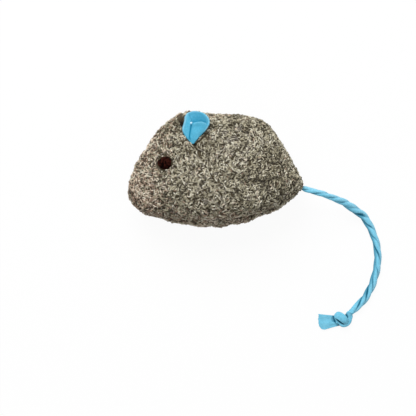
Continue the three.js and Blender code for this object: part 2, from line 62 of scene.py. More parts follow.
LUMP_FADE = 4
DART_LIP_WIDTH = 2.2
CLOTH_THICKNESS = 1.2
EYE_DIAMETER = 6.3
EYE_HEIGHT = 1.0
EAR_HEIGHT = 16.9
EAR_WIDTH = 13.6
EAR_RISE_RATIO = 0.4
EAR_FALL_RATIO = 0.338
TAIL_LAY = 22.5
FLARE_LENGTH = 8.4
FLARE_NECK_WIDTH = 5
FLARE_END_WIDTH = 8.2
THREAD_DIAMETER = 0.6
CLOSING_STITCHES = 9
CLOSING_STITCH_REACH = 0.9

# Places on the side of the body: share of the length from the nose, share of the height from the belly
OUTLINE_SHARES = [
    [0, 0.32], [0.034, 0.51], [0.091, 0.667], [0.194, 0.877], [0.314, 1], [0.5, 0.98],
    [0.674, 0.965], [0.79, 0.9], [0.88, 0.719], [0.949, 0.535], [1, 0.36], [0.949, 0.246],
    [0.811, 0.114], [0.64, 0.026], [0.44, 0], [0.24, 0.045], [0.08, 0.118], [0.017, 0.21],
]
FLANK_CENTRE_SHARES = [0.51, 0.46]
CHIN_SHARES = [0.017, 0.21]
TAIL_ROOT_SHARES = [1, 0.335]
EYE_SHARES = [0.215, 0.547]
EAR_BASE_SHARES = [0.373, 0.705]
DART_SHARES = [
    [0.326, 1.008], [0.32, 0.988], [0.304, 0.964], [0.29, 0.931], [0.292, 0.895], [0.299, 0.868],
    [0.311, 0.841], [0.35, 0.748], [0.38, 0.693], [0.418, 0.613], [0.446, 0.519],
]
CREASE_SHARES = [
    [[0.623, 0.405], [0.68, 0.384], [0.766, 0.395], [0.869, 0.419]],
    [[0.138, 0.483], [0.166, 0.476], [0.195, 0.479]],
]

# Waves of the lumps: direction in degrees, spacing, start in radians
LUMP_WAVES = [[15, 15, 0.4], [78, 13, 2.1], [139, 17, 4.4]]
LUMP_SEAM_SHARES = [0.72, 0.97]
PRESSED_SHARES = [0.3, 0.6]

# Ear cut: share of the ear's width to the left and right edge, share of its height
EAR_CUT_SHARES = [
    [-0.06, 0.06, 0.05], [-0.16, 0.15, 0.13], [-0.29, 0.27, 0.25], [-0.36, 0.41, 0.36], [-0.385, 0.52, 0.465],
    [-0.34, 0.61, 0.595], [-0.305, 0.61, 0.71], [-0.29, 0.54, 0.825], [-0.21, 0.4, 0.93], [-0.04, 0.19, 0.99],
]
EAR_LEFT_FOLD_SHARE = 0.93
EAR_MIDDLE_SHARES = [0.1, 0.57]
EAR_CREASE_SHARES = [[-0.04, 0.05], [-0.13, 0.18], [-0.06, 0.62], [-0.06, 0.84], [-0.1, 0.99]]

# Route of the tail: steps along X and Y from its root, height above the table
TAIL_ROUTE = [
    [3.5, -1.3, 20.3], [7.6, -2.3, 19.4], [11.7, -3.5, 17.6], [16.4, -5.3, 14.6], [21.5, -7.3, 10.8],
    [26.6, -10.5, 6.6], [31.8, -14.2, 3.4], [35.2, -19.5, 2.1], [37.7, -25.2, 1.8], [39.1, -31.3, 1.8],
    [39.2, -37.7, 1.8], [38.1, -44.1, 1.8], [35.9, -50.3, 1.8], [32.5, -56.4, 1.8], [27, -62, 1.8],
]
KNOT_PLACE = [21.5, -66.7]
KNOT_ROUTE = [
    [5.3, 4.5, 1.8], [3.4, 2.6, 1.8], [3, 0.7, 1.8], [2.9, -1.4, 2], [1.6, -2.9, 2.3],
    [-0.4, -3, 2.6], [-1.7, -1.9, 2.5], [-3.3, 0.5, 2.3], [-3.2, 2.1, 3.6], [-0.9, 1.2, 4.6],
    [0.8, -0.3, 4.5], [1.7, -1.3, 3.2], [0.7, -1.4, 1.6], [-1.6, -1.2, 1.4], [-3.6, -1, 1.4],
]
FLARE_DIRECTION_DEG = 184

MILLIMETRE = 0.001
TURN = 2 * math.pi
OUTLINE_STEPS = 1440
MID_HEIGHT = BODY_WIDTH / 2 - RESTING_FLAT_DEPTH
HALF_WIDTH = (BODY_WIDTH - SEAM_GAP) / 2


# Curves and the form of the body
def spline(points, count, closed=False):
    points = np.asarray(points, float)
    if closed:
        held = np.vstack([points[-1:], points, points[:2]])
        spans = len(points)
    else:
        held = np.vstack([2 * points[0] - points[1], points, 2 * points[-1] - points[-2]])
        spans = len(points) - 1
    place = np.linspace(0, 1, count, endpoint=not closed) * spans
    first = np.minimum(place.astype(int), spans - 1)
    w = (place - first)[:, None]
    p0, p1, p2, p3 = (held[first + k] for k in range(4))
    pairs = ((p0, p1), (p1, p2), (p2, p3))
    d0, d1, d2 = (np.linalg.norm(b - a, axis=-1, keepdims=True) ** 0.5 for a, b in pairs)
    start = ((p1 - p0) / d0 - (p2 - p0) / (d0 + d1) + (p2 - p1) / d1) * d1
    end = ((p2 - p1) / d1 - (p3 - p1) / (d1 + d2) + (p3 - p2) / d2) * d1
    return p1 + start * w + (3 * (p2 - p1) - 2 * start - end) * w**2 + (2 * (p1 - p2) + start + end) * w**3


def on_body(shares):
    return (np.asarray(shares, float) - 0.5) * [BODY_LENGTH, BODY_HEIGHT]


def smoothstep(value, low, high):
    share = np.clip((value - low) / (high - low), 0, 1)
    return share * share * (3 - 2 * share)


def bell(value, width):
    return np.exp(-((value / width) ** 2))


def hill(x, y, middle_x, middle_y, size):
    return np.exp(-((x - middle_x) ** 2 + (y - middle_y) ** 2) / size**2)


def from_table(table, place):
    return np.interp(place, *zip(*table))


CENTRE = on_body(FLANK_CENTRE_SHARES)


def angle_of(point):
    return math.atan2(point[1] - CENTRE[1], point[0] - CENTRE[0]) % TURN


def from_centre(angle, radius, height):
    x = CENTRE[0] + radius * np.cos(angle)
    y = CENTRE[1] + radius * np.sin(angle)
    return np.stack([x, y, MID_HEIGHT + height], axis=-1)


outline = spline(on_body(OUTLINE_SHARES), OUTLINE_STEPS, closed=True) - CENTRE
outline_angles = np.arctan2(outline[:, 1], outline[:, 0])
outline_radii = np.hypot(outline[:, 0], outline[:, 1])


def rim(angle):
    return np.interp(angle, outline_angles, outline_radii, period=TURN)


CHIN_ANGLE = angle_of(on_body(CHIN_SHARES))
RUMP_ANGLE = angle_of(on_body(TAIL_ROOT_SHARES))
TAIL_ROOT = from_centre(RUMP_ANGLE, rim(RUMP_ANGLE), 0.0)


def belly_share(angle):
    along = (2 * (angle % TURN) - CHIN_ANGLE - RUMP_ANGLE) / (RUMP_ANGLE - CHIN_ANGLE)
    return np.maximum(0, 1 - along * along)


def belly_angle(along):
    return (CHIN_ANGLE + RUMP_ANGLE + along * (RUMP_ANGLE - CHIN_ANGLE)) / 2


def flank(angle, r):
    belly = belly_share(angle)
    edge = belly * BELLY_WIDTH / 2
    radius = r * (rim(angle) - belly * BELLY_BULGE)
    x = CENTRE[0] + radius * np.cos(angle)
    narrowing = HEAD_NARROWING_SHARE * (1 - smoothstep(x, -BODY_LENGTH / 2, 0))
    crown = HALF_WIDTH * (1 - narrowing)
    height = edge + (crown - edge) * np.sqrt(np.maximum(0, 1 - r**FLANK_ROUNDING_POWER))
    return from_centre(angle, radius, SEAM_GAP / 2 + height)


def flank_at(x, y):
    angle = np.arctan2(y - CENTRE[1], x - CENTRE[0])
    reach = rim(angle) - belly_share(angle) * BELLY_BULGE
    return flank(angle, np.minimum(1, np.hypot(x - CENTRE[0], y - CENTRE[1]) / reach))


def flank_normal(x, y):
    slope_x = flank_at(x + 0.5, y)[2] - flank_at(x - 0.5, y)[2]
    slope_y = flank_at(x, y + 0.5)[2] - flank_at(x, y - 0.5)[2]
    return unit(np.array([-slope_x, -slope_y, 1]))


def unit(vectors):
    return vectors / np.maximum(np.linalg.norm(vectors, axis=-1, keepdims=True), 1e-12)


def mirrored(points):
    return points * [1, 1, -1] + [0, 0, 2 * MID_HEIGHT]


def flattened(points, low):
    return np.concatenate([points[..., :2], np.maximum(points[..., 2:], low)], axis=-1)


# Where the toy's own millimetres lie in the frame
SWING = next(joint for joint in frame["joints"] if joint["name"] == "tail_swing")
SHIFT = np.array(SWING["pos_m"]) / MILLIMETRE - TAIL_ROOT


def metres(points):
    return (np.asarray(points, float) + SHIFT) * MILLIMETRE


# Meshes
def new_object(name, data):
    made = bpy.data.objects.new(name, data)
    bpy.context.scene.collection.objects.link(made)
    return made


def write_shade(piece, key, values):
    made = piece.data.attributes.new(key, "FLOAT", "POINT")
    made.data.foreach_set("value", values.astype(np.float32).ravel())


def read(items, key):
    values = np.empty(3 * len(items), np.float32)
    items.foreach_get(key, values)
    return values.reshape(-1, 3).astype(float)


def volume(points, triangles):
    a, b, c = (np.asarray(points)[triangles[:, k]] for k in range(3))
    return (a * np.cross(b, c)).sum()


def new_piece(name, points, quads, triangles=(), material=None, uv=None):
    mesh = bpy.data.meshes.new(name)
    quads = np.asarray(quads, np.int32).reshape(-1, 4)
    triangles = np.asarray(triangles, np.int32).reshape(-1, 3)
    if volume(points, np.vstack([quads[:, :3], quads[:, [0, 2, 3]], triangles])) < 0:
        quads, triangles = quads[:, ::-1], triangles[:, ::-1]
    corners = np.concatenate([quads.ravel(), triangles.ravel()])
    totals = np.concatenate([np.full(len(quads), 4), np.full(len(triangles), 3)]).astype(np.int32)
    mesh.vertices.add(len(points))
    mesh.vertices.foreach_set("co", metres(points).astype(np.float32).ravel())
    mesh.loops.add(len(corners))
    mesh.loops.foreach_set("vertex_index", corners)
    mesh.polygons.add(len(totals))
    starts = np.concatenate([[0], np.cumsum(totals)[:-1]]).astype(np.int32)
    mesh.polygons.foreach_set("loop_start", starts)
    if uv is not None:
        mesh.uv_layers.new(name="OFBake").data.foreach_set("uv", uv.astype(np.float32).ravel())
    mesh.update(calc_edges=True)
    mesh.validate()
    mesh.shade_smooth()
    if material is not None:
        mesh.materials.append(material)
    return new_object(name, mesh)


def stand_in(piece, body, node_name):
    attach(piece, body)
    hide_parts(node_name)


def wrap_quads(rings, sides):
    ring, side = np.meshgrid(np.arange(rings - 1), np.arange(sides), indexing="ij")
    after = (side + 1) % sides
    here, there = ring * sides, (ring + 1) * sides
    return np.stack([here + side, here + after, there + after, there + side], axis=-1).reshape(-1, 4)


def fan(first, ring, flip):
    after = np.roll(ring, -1)
    middle = np.full(len(ring), first)
    return np.stack([middle, after, ring] if flip else [middle, ring, after], axis=-1)


def along_path(path):
    path = np.asarray(path, float)
    tangents = unit(np.gradient(path, axis=0))
    sides = np.empty_like(path)
    side = unit(np.cross(tangents[0], [0, 0, 1]))
    for k, tangent in enumerate(tangents):
        side = unit(side - tangent * (side @ tangent))
        sides[k] = side
    return tangents, sides, np.cross(sides, tangents)


def tube(rings, ends):
    sides = rings.shape[1]
    count = len(rings) * sides
    last = np.arange(count - sides, count)
    caps = np.concatenate([fan(count, np.arange(sides), True), fan(count + 1, last, False)])
    return np.vstack([rings.reshape(-1, 3), ends]), wrap_quads(len(rings), sides), caps


def closed_rings(rings):
    return tube(rings, [rings[0].mean(0), rings[-1].mean(0)])


def shares_and_angles(rings, sides):
    return np.linspace(0, 1, rings)[:, None], np.arange(sides)[None, :] * TURN / sides


def rings_round(path, across, up, angles, wide, thin):
    beside = (np.cos(angles) * wide)[..., None] * across[:, None]
    return path[:, None] + beside + (np.sin(angles) * thin)[..., None] * up[:, None]


def swept(path, sides, radius):
    _, across, up = along_path(path)
    shares, angles = shares_and_angles(len(path), sides)
    reach = radius(shares, angles) if callable(radius) else np.full((len(path), 1), radius)
    return tube(rings_round(path, across, up, angles, reach, reach), path[[0, -1]])


def grid_quads(rows, columns):
    index = np.arange(rows * columns).reshape(rows, columns)
    corners = index[:-1, :-1], index[:-1, 1:], index[1:, 1:], index[1:, :-1]
    return np.stack(corners, axis=-1).reshape(-1, 4)


def even(path, count):
    path = np.asarray(path, float)
    run = np.concatenate([[0], np.cumsum(np.linalg.norm(np.diff(path[:, :3], axis=0), axis=1))])
    places = np.linspace(0, run[-1], count)
    return np.stack([np.interp(places, run, column) for column in path.T], axis=-1)


def waves(points, size, seed, count=20):
    draw = np.random.default_rng(seed)
    directions = unit(draw.normal(size=(count, 3)))
    pitch = TURN / size * draw.uniform(0.6, 1.4, count)
    phase = draw.uniform(0, TURN, count)
    return np.sin(points @ (directions * pitch[:, None]).T + phase).sum(-1) / math.sqrt(count / 2)


# Materials
def colour(red, green, blue):
    def linear(value):
        share = value / 255
        return share / 12.92 if share <= 0.04045 else ((share + 0.055) / 1.055) ** 2.4
    return (linear(red), linear(green), linear(blue), 1)


WHITE = (1, 1, 1, 1)


def feed(tree, socket, value):
    if isinstance(value, bpy.types.NodeSocket):
        tree.links.new(value, socket)
    else:
        socket.default_value = value


def node(tree, kind, inputs=None, **settings):
    made = tree.nodes.new(kind)
    for key, value in settings.items():
        setattr(made, key, value)
    for key, value in (inputs or {}).items():
        feed(tree, made.inputs[key], value)
    return made


def ramp(tree, value, stops):
    made = node(tree, "ShaderNodeValToRGB", {"Fac": value})
    elements = made.color_ramp.elements
    while len(elements) < len(stops):
        elements.new(0.5)
    for element, (place, tint) in zip(elements, stops):
        element.position = place
        element.color = tint
    return made.outputs["Color"]


def mixed(tree, share, first, second, how="MIX"):
    inputs = {0: share, 6: first, 7: second}
    return node(tree, "ShaderNodeMix", inputs, data_type="RGBA", blend_type=how).outputs[2]


def maths(tree, how, first, second):
    return node(tree, "ShaderNodeMath", {0: first, 1: second}, operation=how).outputs[0]


def attribute(tree, name):
    return node(tree, "ShaderNodeAttribute", attribute_name=name).outputs["Fac"]


def new_material(name):
    made = bpy.data.materials.new(name)
    made.use_nodes = True
    return made, made.node_tree, made.node_tree.nodes["Principled BSDF"]


def noise(tree, scale, detail=3, roughness=0.6, vector=None):
    if vector is None:
        vector = node(tree, "ShaderNodeTexCoord").outputs["Object"]
    inputs = {"Scale": scale, "Detail": detail, "Roughness": roughness, "Vector": vector}
    return node(tree, "ShaderNodeTexNoise", inputs).outputs["Fac"]


def bump(tree, shader, height, distance, strength=0.6):
    made = node(tree, "ShaderNodeBump", {"Height": height, "Distance": distance, "Strength": strength})
    tree.links.new(made.outputs["Normal"], shader.inputs["Normal"])


def paint(tree, shader, base, roughness, sheen=0.0, sheen_tint=WHITE, gloss=0.1):
    looks = {
        "Base Color": base, "Roughness": roughness, "Specular IOR Level": gloss,
        "Sheen Weight": sheen, "Sheen Roughness": 0.5, "Sheen Tint": sheen_tint,
    }
    for key, value in looks.items():
        feed(tree, shader.inputs[key], value)


def yarn_material():
    made, tree, shader = new_material("nap_yarn")
    place = node(tree, "ShaderNodeUVMap", uv_map="OFBake").outputs["UV"]
    parts = node(tree, "ShaderNodeSeparateXYZ", {"Vector": place})
    grey = ramp(tree, parts.outputs["Y"], [
        (0.0, colour(74, 66, 51)), (0.2, colour(150, 143, 121)), (0.36, colour(200, 193, 170)),
        (0.499, colour(240, 236, 219)), (0.5, colour(78, 58, 46)), (0.7, colour(154, 131, 113)),
        (0.86, colour(198, 178, 157)), (1.0, colour(234, 221, 203)),
    ])
    # Painted shade: each yarn darkens towards both ends, where it dips under the others
    ends = ramp(tree, parts.outputs["X"], [
        (0.0, colour(120, 116, 108)), (0.2, WHITE), (0.8, WHITE), (1.0, colour(120, 116, 108)),
    ])
    stretched = node(tree, "ShaderNodeMapping", {"Vector": place, "Scale": (7, 260, 1)}).outputs["Vector"]
    streaks = ramp(tree, noise(tree, 1, 2, 0.5, stretched), [(0.3, colour(214, 212, 206)), (0.7, WHITE)])
    shaded = mixed(tree, 1.0, mixed(tree, 1.0, grey, ends, "MULTIPLY"), streaks, "MULTIPLY")
    paint(tree, shader, shaded, 0.85, 0.15)
    return made


def cloth_material():
    made, tree, shader = new_material("ground_cloth")
    patches = noise(tree, 90, 3)
    fine = noise(tree, 900, 4, 0.7)
    base = mixed(tree, patches, colour(46, 39, 28), colour(74, 65, 50))
    worn = mixed(tree, fine, base, colour(90, 82, 65))
    # Painted shade: the cloth darkens to near black where the "hollow" attribute marks the deep dart hollow
    shaded = mixed(tree, attribute(tree, "hollow"), worn, colour(30, 25, 22))
    paint(tree, shader, shaded, 0.95, 0.1)
    bump(tree, shader, fine, 0.0005)
    return made


def felt_material(name, low, high, shade_tint, fibre_scale):
    made, tree, shader = new_material(name)
    cloudy = noise(tree, 260, 3, 0.6)
    fibres = noise(tree, fibre_scale, 4, 0.75)
    base = mixed(tree, cloudy, low, high)
    # Painted shade: the "crease" attribute and the concave spots found by Pointiness mix the felt towards its
    # shade tint
    bent = node(tree, "ShaderNodeNewGeometry").outputs["Pointiness"]
    hollow = node(tree, "ShaderNodeMapRange", {0: bent, 1: 0.38, 2: 0.485, 3: 0.8, 4: 0.0}).outputs[0]
    painted_shade = maths(tree, "MAXIMUM", attribute(tree, "crease"), hollow)
    # Painted highlight: the "edge" attribute lightens rims and outer sides towards a pale blue
    edge = maths(tree, "MULTIPLY", attribute(tree, "edge"), 0.4)
    shaded = mixed(tree, painted_shade, mixed(tree, edge, base, colour(170, 220, 240)), shade_tint)
    speckled = ramp(tree, fibres, [(0.32, colour(222, 228, 230)), (0.6, WHITE)])
    paint(tree, shader, mixed(tree, 1.0, shaded, speckled, "MULTIPLY"), 0.9, 0.25, high)
    bump(tree, shader, fibres, 0.0002, 0.5)
    return made


def thread_material(name, dark, light, scale, roughness, sheen, gloss=0.15, spread=0.2):
    made, tree, shader = new_material(name)
    strands = noise(tree, scale)
    tint = ramp(tree, strands, [(0.5 - spread, dark), (0.5 + spread, light)])
    paint(tree, shader, tint, roughness, sheen, light, gloss)
    bump(tree, shader, strands, 0.0001, 0.5)
    return made


YARN = yarn_material()
CLOTH = cloth_material()
# Felts: dark and light colour, tint of painted shade, fibre scale
FELT = felt_material("ear_felt", colour(64, 156, 190), colour(98, 178, 206), colour(0, 114, 148), 1700)
TAIL_CLOTH = felt_material(
    "tail_strip", colour(106, 192, 222), colour(146, 218, 243), colour(8, 92, 120), 1300)
EYE_THREAD = thread_material("eye_thread", colour(5, 0, 0), colour(52, 22, 15), 700, 0.8, 0.0, 0.03, 0.09)
TACK_THREAD = thread_material("tack_thread", colour(160, 205, 232), colour(210, 234, 248), 2000, 0.8, 0.1)
SEAM_THREAD = thread_material("seam_thread", colour(74, 66, 54), colour(120, 111, 93), 2200, 0.8, 0.1)
FIBREFILL = thread_material("fibrefill", colour(222, 219, 211), colour(250, 249, 245), 500, 1.0, 0.4)
CATNIP = thread_material("catnip", colour(70, 76, 36), colour(150, 152, 92), 420, 1.0, 0.1)


# Camera: straight down on the left flank, the toy's back at the top of the picture
PICTURE_PIXELS = 416
PIXEL_MM = 0.5
CAMERA_DISTANCE = 1000
SENSOR_MM = 36
PICTURE_MIDDLE = [-3.75, -19.5, MID_HEIGHT + CAMERA_DISTANCE]
camera_data = bpy.data.cameras.new("camera")
camera_data.sensor_width = SENSOR_MM
camera_data.lens = SENSOR_MM * CAMERA_DISTANCE / (PICTURE_PIXELS * PIXEL_MM)
camera_data.clip_start = 0.01
camera = new_object("camera", camera_data)
camera.location = metres(PICTURE_MIDDLE)
bpy.context.scene.camera = camera


# Tail: three plies of one cloth strip, twisted
def from_root(steps):
    steps = np.asarray(steps, float)
    return np.column_stack([TAIL_ROOT[0] + steps[:, 0], TAIL_ROOT[1] + steps[:, 1], steps[:, 2]])


TAIL_STEPS = 1600
TAIL_RINGS = 330
TAIL_SIDES = 36
TAIL_FLOOR = 0.02
TAIL_PLIES = 3
PLY_OFFSET = 0.62
PLY_RADIUS = 1.22
PLY_STRAY = 0.16
PLY_SWELL = 0.1
PLY_SLIP = 0.12
PLY_APART = 37.0
# Painted groove shade: full where the plies reach less than the end, none where they reach more than the
# start
GROOVE_SHADE_START = 1.64
GROOVE_SHADE_END = 1.4

# Fullness of the tail: share of its length, share of its radius
TAIL_FULLNESS = [
    (0, 0.6), (0.008, 0.74), (0.018, 0.85), (0.06, 0.83), (0.15, 0.86), (0.24, 1), (0.33, 1.2), (0.45, 1.14),
    (0.55, 1.06), (0.75, 1.1), (0.9, 1.12), (0.94, 1.06), (0.96, 0.8), (1, 0.45),
]
knot_points = from_root(np.asarray(KNOT_ROUTE) + [*KNOT_PLACE, 0])
tail_points = np.vstack([TAIL_ROOT, from_root(TAIL_ROUTE), knot_points[1:3]])
tail_path = even(spline(tail_points, TAIL_STEPS), TAIL_RINGS)
tail_length = np.linalg.norm(np.diff(tail_path, axis=0), axis=1).sum()


def ply_reach(share, angle):
    turns = share * tail_length / TAIL_LAY
    reach = np.zeros(np.broadcast(share, angle).shape)
    for ply in range(TAIL_PLIES):
        zero = np.zeros_like(share)
        along = np.stack([share * tail_length, zero + PLY_APART * ply, zero], axis=-1)
        uneven = np.clip(waves(along, 9, 40 + ply), -1.5, 1.5)
        offset = PLY_OFFSET * (1 + PLY_STRAY * uneven)
        size = PLY_RADIUS * (1 - PLY_SWELL * uneven)
        turned = angle - TURN * turns - ply * TURN / TAIL_PLIES + PLY_SLIP * waves(along, 11, 50)
        sine, cosine = offset * np.sin(turned), offset * np.cos(turned)
        ahead = cosine + np.sqrt(np.maximum(0, size**2 - sine**2))
        reach = np.maximum(reach, np.where(np.abs(sine) < size, ahead, 0))
    return reach


def tail_radius(share, angle):
    return ply_reach(share, angle) * from_table(TAIL_FULLNESS, share)


tail_points, tail_quads, tail_caps = swept(tail_path, TAIL_SIDES, tail_radius)
tail_shares, tail_angles = shares_and_angles(TAIL_RINGS, TAIL_SIDES)
# Painted shade in the grooves between plies and on the inner side of the bend, and a painted highlight on the
# outer side
tail_groove_shade = 1 - smoothstep(ply_reach(tail_shares, tail_angles), GROOVE_SHADE_END, GROOVE_SHADE_START)
tail_inside_shade = smoothstep(np.cos(tail_angles), 0.45, 1)
tail_inside_shade = tail_inside_shade * smoothstep(tail_shares, 0.2, 0.4) * (1 - smoothstep(tail_shares, 0.84, 0.95))
tail_outside_highlight = smoothstep(-np.cos(tail_angles), -0.3, 0.6) + 0 * tail_shares
tail_groove_shade = tail_groove_shade * (0.35 + 0.65 * smoothstep(np.cos(tail_angles), -0.6, 0.4))
tail_shade = np.maximum(tail_groove_shade, 0.6 * tail_inside_shade)
tail_points = flattened(tail_points, TAIL_FLOOR)
tail = new_piece("tail_cord_twist", tail_points, tail_quads, tail_caps, TAIL_CLOTH)
write_shade(tail, "crease", np.append(tail_shade, [0, 0]))
write_shade(tail, "edge", np.append(tail_outside_highlight, [0, 0]))
stand_in(tail, "tail", "tail_cord")


# Solid made of overlapping ones, with soft edges
def all_faces(pieces):
    points, faces = [], []
    for piece in pieces:
        start = len(points)
        points += [vertex.co[:] for vertex in piece.data.vertices]
        faces += [[start + k for k in polygon.vertices] for polygon in piece.data.polygons]
    return points, faces


def fused(name, pieces, voxel_mm, smoothing, material):
    joined = bpy.data.meshes.new(name)
    points, faces = all_faces(pieces)
    for piece in pieces:
        bpy.data.objects.remove(piece)
    joined.from_pydata(points, [], faces)
    whole = new_object(name, joined)
    remesh = whole.modifiers.new("fuse", "REMESH")
    remesh.mode = "VOXEL"
    remesh.voxel_size = voxel_mm * MILLIMETRE
    soften = whole.modifiers.new("soften", "SMOOTH")
    soften.iterations = smoothing
    soften.factor = 0.5
    graph = bpy.context.evaluated_depsgraph_get()
    result = bpy.data.meshes.new_from_object(whole.evaluated_get(graph))
    whole.modifiers.clear()
    whole.data = result
    result.name = name
    result.materials.clear()
    result.materials.append(material)
    result.shade_smooth()
    return whole


# Shade of narrow places: the share of what a point faces that the pieces block close by
SHELTER_RAYS = 24
GOLDEN_TURN = math.pi * (3 - math.sqrt(5))
KNOT_SHADE_REACH = 2.5
# Painted shade over all of the knot and the flared end
KNOT_BASE_SHADE = 0.12
SHELTER_START = 0.05


def shelter(piece, blockers, reach):
    tree = BVHTree.FromPolygons(*all_faces(blockers))
    rises = [math.sqrt(1 - (k + 0.5) / SHELTER_RAYS) for k in range(SHELTER_RAYS)]
    blocked = np.zeros(len(piece.data.vertices))
    for k, vertex in enumerate(piece.data.vertices):
        out = vertex.normal
        side = out.orthogonal().normalized()
        other = out.cross(side)
        start = vertex.co + out * (SHELTER_START * MILLIMETRE)
        for turn, rise in enumerate(rises):
            level = side * math.cos(turn * GOLDEN_TURN) + other * math.sin(turn * GOLDEN_TURN)
            ray = out * rise + level * math.sqrt(1 - rise * rise)
            blocked[k] += tree.ray_cast(start, ray, reach * MILLIMETRE)[0] is not None
    return blocked / SHELTER_RAYS


# Knot: one flattened turn of the strip round itself
KNOT_STEPS = 900
KNOT_RINGS = 170
KNOT_SIDES = 24
KNOT_FLOOR = 0.05
KNOT_VOXEL = 0.22
KNOT_PLEATS = 5
PLEAT_SHARE = 0.07
PLEAT_TWIST = 9
KNOT_SMOOTHING = 3

# Strand of the knot at each point of its route: half its width, half its thickness
KNOT_STRAND_SIZES = [
    [1.5, 1.5], [1.3, 2.0], [1.1, 2.0], [1.1, 1.4], [1.1, 1.1], [1.1, 1.0], [1.0, 0.9], [1.3, 1.1],
    [1.9, 1.1], [2.1, 1.0], [1.9, 1.0], [1.4, 0.9], [1.2, 0.8], [1.4, 0.7], [1.8, 0.6],
]
knot_stations = even(spline(np.hstack([knot_points, KNOT_STRAND_SIZES]), KNOT_STEPS), KNOT_RINGS)
knot_path = knot_stations[:, :3]
knot_middle = knot_path.mean(axis=0)


def knot_strand():
    tangents, _, _ = along_path(knot_path)
    out = knot_path - knot_middle
    out = unit(out - tangents * (out * tangents).sum(-1, keepdims=True))
    across = np.cross(tangents, out)
    share, angles = shares_and_angles(KNOT_RINGS, KNOT_SIDES)
    pleats = 1 + PLEAT_SHARE * np.cos(KNOT_PLEATS * angles + PLEAT_TWIST * share)
    wide, thin = knot_stations[:, 3:4] * pleats, knot_stations[:, 4:5] * pleats
    points = rings_round(knot_path, across, out, angles, wide, thin)
    return new_piece("strand", *tube(flattened(points, KNOT_FLOOR), knot_path[[0, -1]]))


knot = fused("tail_knot_wrap", [knot_strand()], KNOT_VOXEL, KNOT_SMOOTHING, TAIL_CLOTH)
stand_in(knot, "tail", "tail_knot")


# Flared end: the strip's own width, pleated at the knot and cut off
def plate_mesh(outer, inner):
    rows, columns = outer.shape[:2]
    points = np.vstack([outer.reshape(-1, 3), inner.reshape(-1, 3)])
    under = rows * columns
    index = np.arange(under).reshape(rows, columns)
    top = grid_quads(rows, columns)
    bottom = top[:, [0, 3, 2, 1]] + under
    loop = np.concatenate([index[0, :-1], index[:-1, -1], index[-1, :0:-1], index[:0:-1, 0]])
    after = np.roll(loop, -1)
    wall = np.stack([loop, loop + under, after + under, after], axis=-1)
    return points, np.vstack([top, bottom, wall])


FLARE_COLUMNS = 71
FLARE_ROWS = 51
FLARE_CORNER_RADIUS = 2.4
FLARE_CORNER_START = 0.66
FLARE_TUCK = 2.2
FLARE_HALF_THICKNESS = 0.45
FLARE_SPREAD_POWER = 1.2
FLARE_UPPER_FLOOR = 0.9
FLARE_LOWER_FLOOR = 0.1
FLARE_PLEAT_HEIGHT = 0.22
FLARE_PLEATS = 1.7
FLARE_FRAY = 0.12
FLARE_END_BOW = 0.35


def flare_end():
    across = np.linspace(0, 1, FLARE_COLUMNS)[None, :]
    along = np.linspace(0, 1, FLARE_ROWS)[:, None]
    width = FLARE_NECK_WIDTH + (FLARE_END_WIDTH - FLARE_NECK_WIDTH) * along**FLARE_SPREAD_POWER
    start = knot_path[-1]
    drop = (start[2] - FLARE_HALF_THICKNESS - FIT_GAP) * smoothstep(along, 0, 0.8)
    pleat = FLARE_PLEAT_HEIGHT * np.sin(across * TURN * FLARE_PLEATS + 0.9) * (1.2 - 0.8 * along)
    ends = np.stack([across * 30, 0 * across, 0 * across], axis=-1)
    ragged = FLARE_FRAY * waves(ends, 2, 7) + FLARE_END_BOW * np.sin(across * math.pi)
    round_share = np.clip((across - FLARE_CORNER_START) / (1 - FLARE_CORNER_START), 0, 1)
    rounding = FLARE_CORNER_RADIUS * (1 - np.sqrt(1 - round_share**2))
    reach = -FLARE_TUCK + along * (FLARE_LENGTH + FLARE_TUCK + ragged - rounding)
    side = (across - 0.5) * width
    bend = math.radians(FLARE_DIRECTION_DEG)
    x = start[0] + reach * math.cos(bend) - side * math.sin(bend)
    y = start[1] + reach * math.sin(bend) + side * math.cos(bend)
    z = start[2] - drop + pleat
    upper = np.stack([x, y, np.maximum(z + FLARE_HALF_THICKNESS, FLARE_UPPER_FLOOR)], axis=-1)
    lower = np.stack([x, y, np.maximum(z - FLARE_HALF_THICKNESS, FLARE_LOWER_FLOOR)], axis=-1)
    points, quads = plate_mesh(upper, lower)
    return new_piece("tail_end_fan", points, quads, (), TAIL_CLOTH)


flare = flare_end()
stand_in(flare, "tail", "tail_flared_end")
# Painted shade on the knot and flared end: a base amount all over, and more where nearby pieces block the
# view
for wrapped, open_share, deep_share in ((knot, 0.1, 0.42), (flare, 0.04, 0.3)):
    blocked = shelter(wrapped, [knot, flare], KNOT_SHADE_REACH)
    shade = KNOT_BASE_SHADE + (1 - KNOT_BASE_SHADE) * smoothstep(blocked, open_share, deep_share)
    write_shade(wrapped, "crease", shade)


# Marks on the flank, in the toy's millimetres
DART_STEPS = 200
CREASE_STEPS = 40
EAR_SHADOW_ENDS = ([0.9, -0.4], [7.6, 5.6])
EAR_SHADOW_STEPS = 30
DART = spline(on_body(DART_SHARES), DART_STEPS)
CREASE_LINES = [spline(on_body(shares), CREASE_STEPS) for shares in CREASE_SHARES]
EYE_MIDDLE = on_body(EYE_SHARES)
EAR_CENTRE = on_body(EAR_BASE_SHARES) + np.array(EAR_MIDDLE_SHARES) * [EAR_WIDTH, EAR_HEIGHT]
EAR_SHADOW = on_body(EAR_BASE_SHARES) + np.linspace(*EAR_SHADOW_ENDS, EAR_SHADOW_STEPS)

# Dents: place, size, depth
DENTS = [(10.75, -4.5, 3.0, 0.5), (22.5, -10.0, 3.2, 0.6)]
BROW_DENT = (-20.6, 27, 2.8, 1.0)

# Creases: width, depth
CREASE_SIZES = [(1.2, 0.7), (0.9, 0.45)]

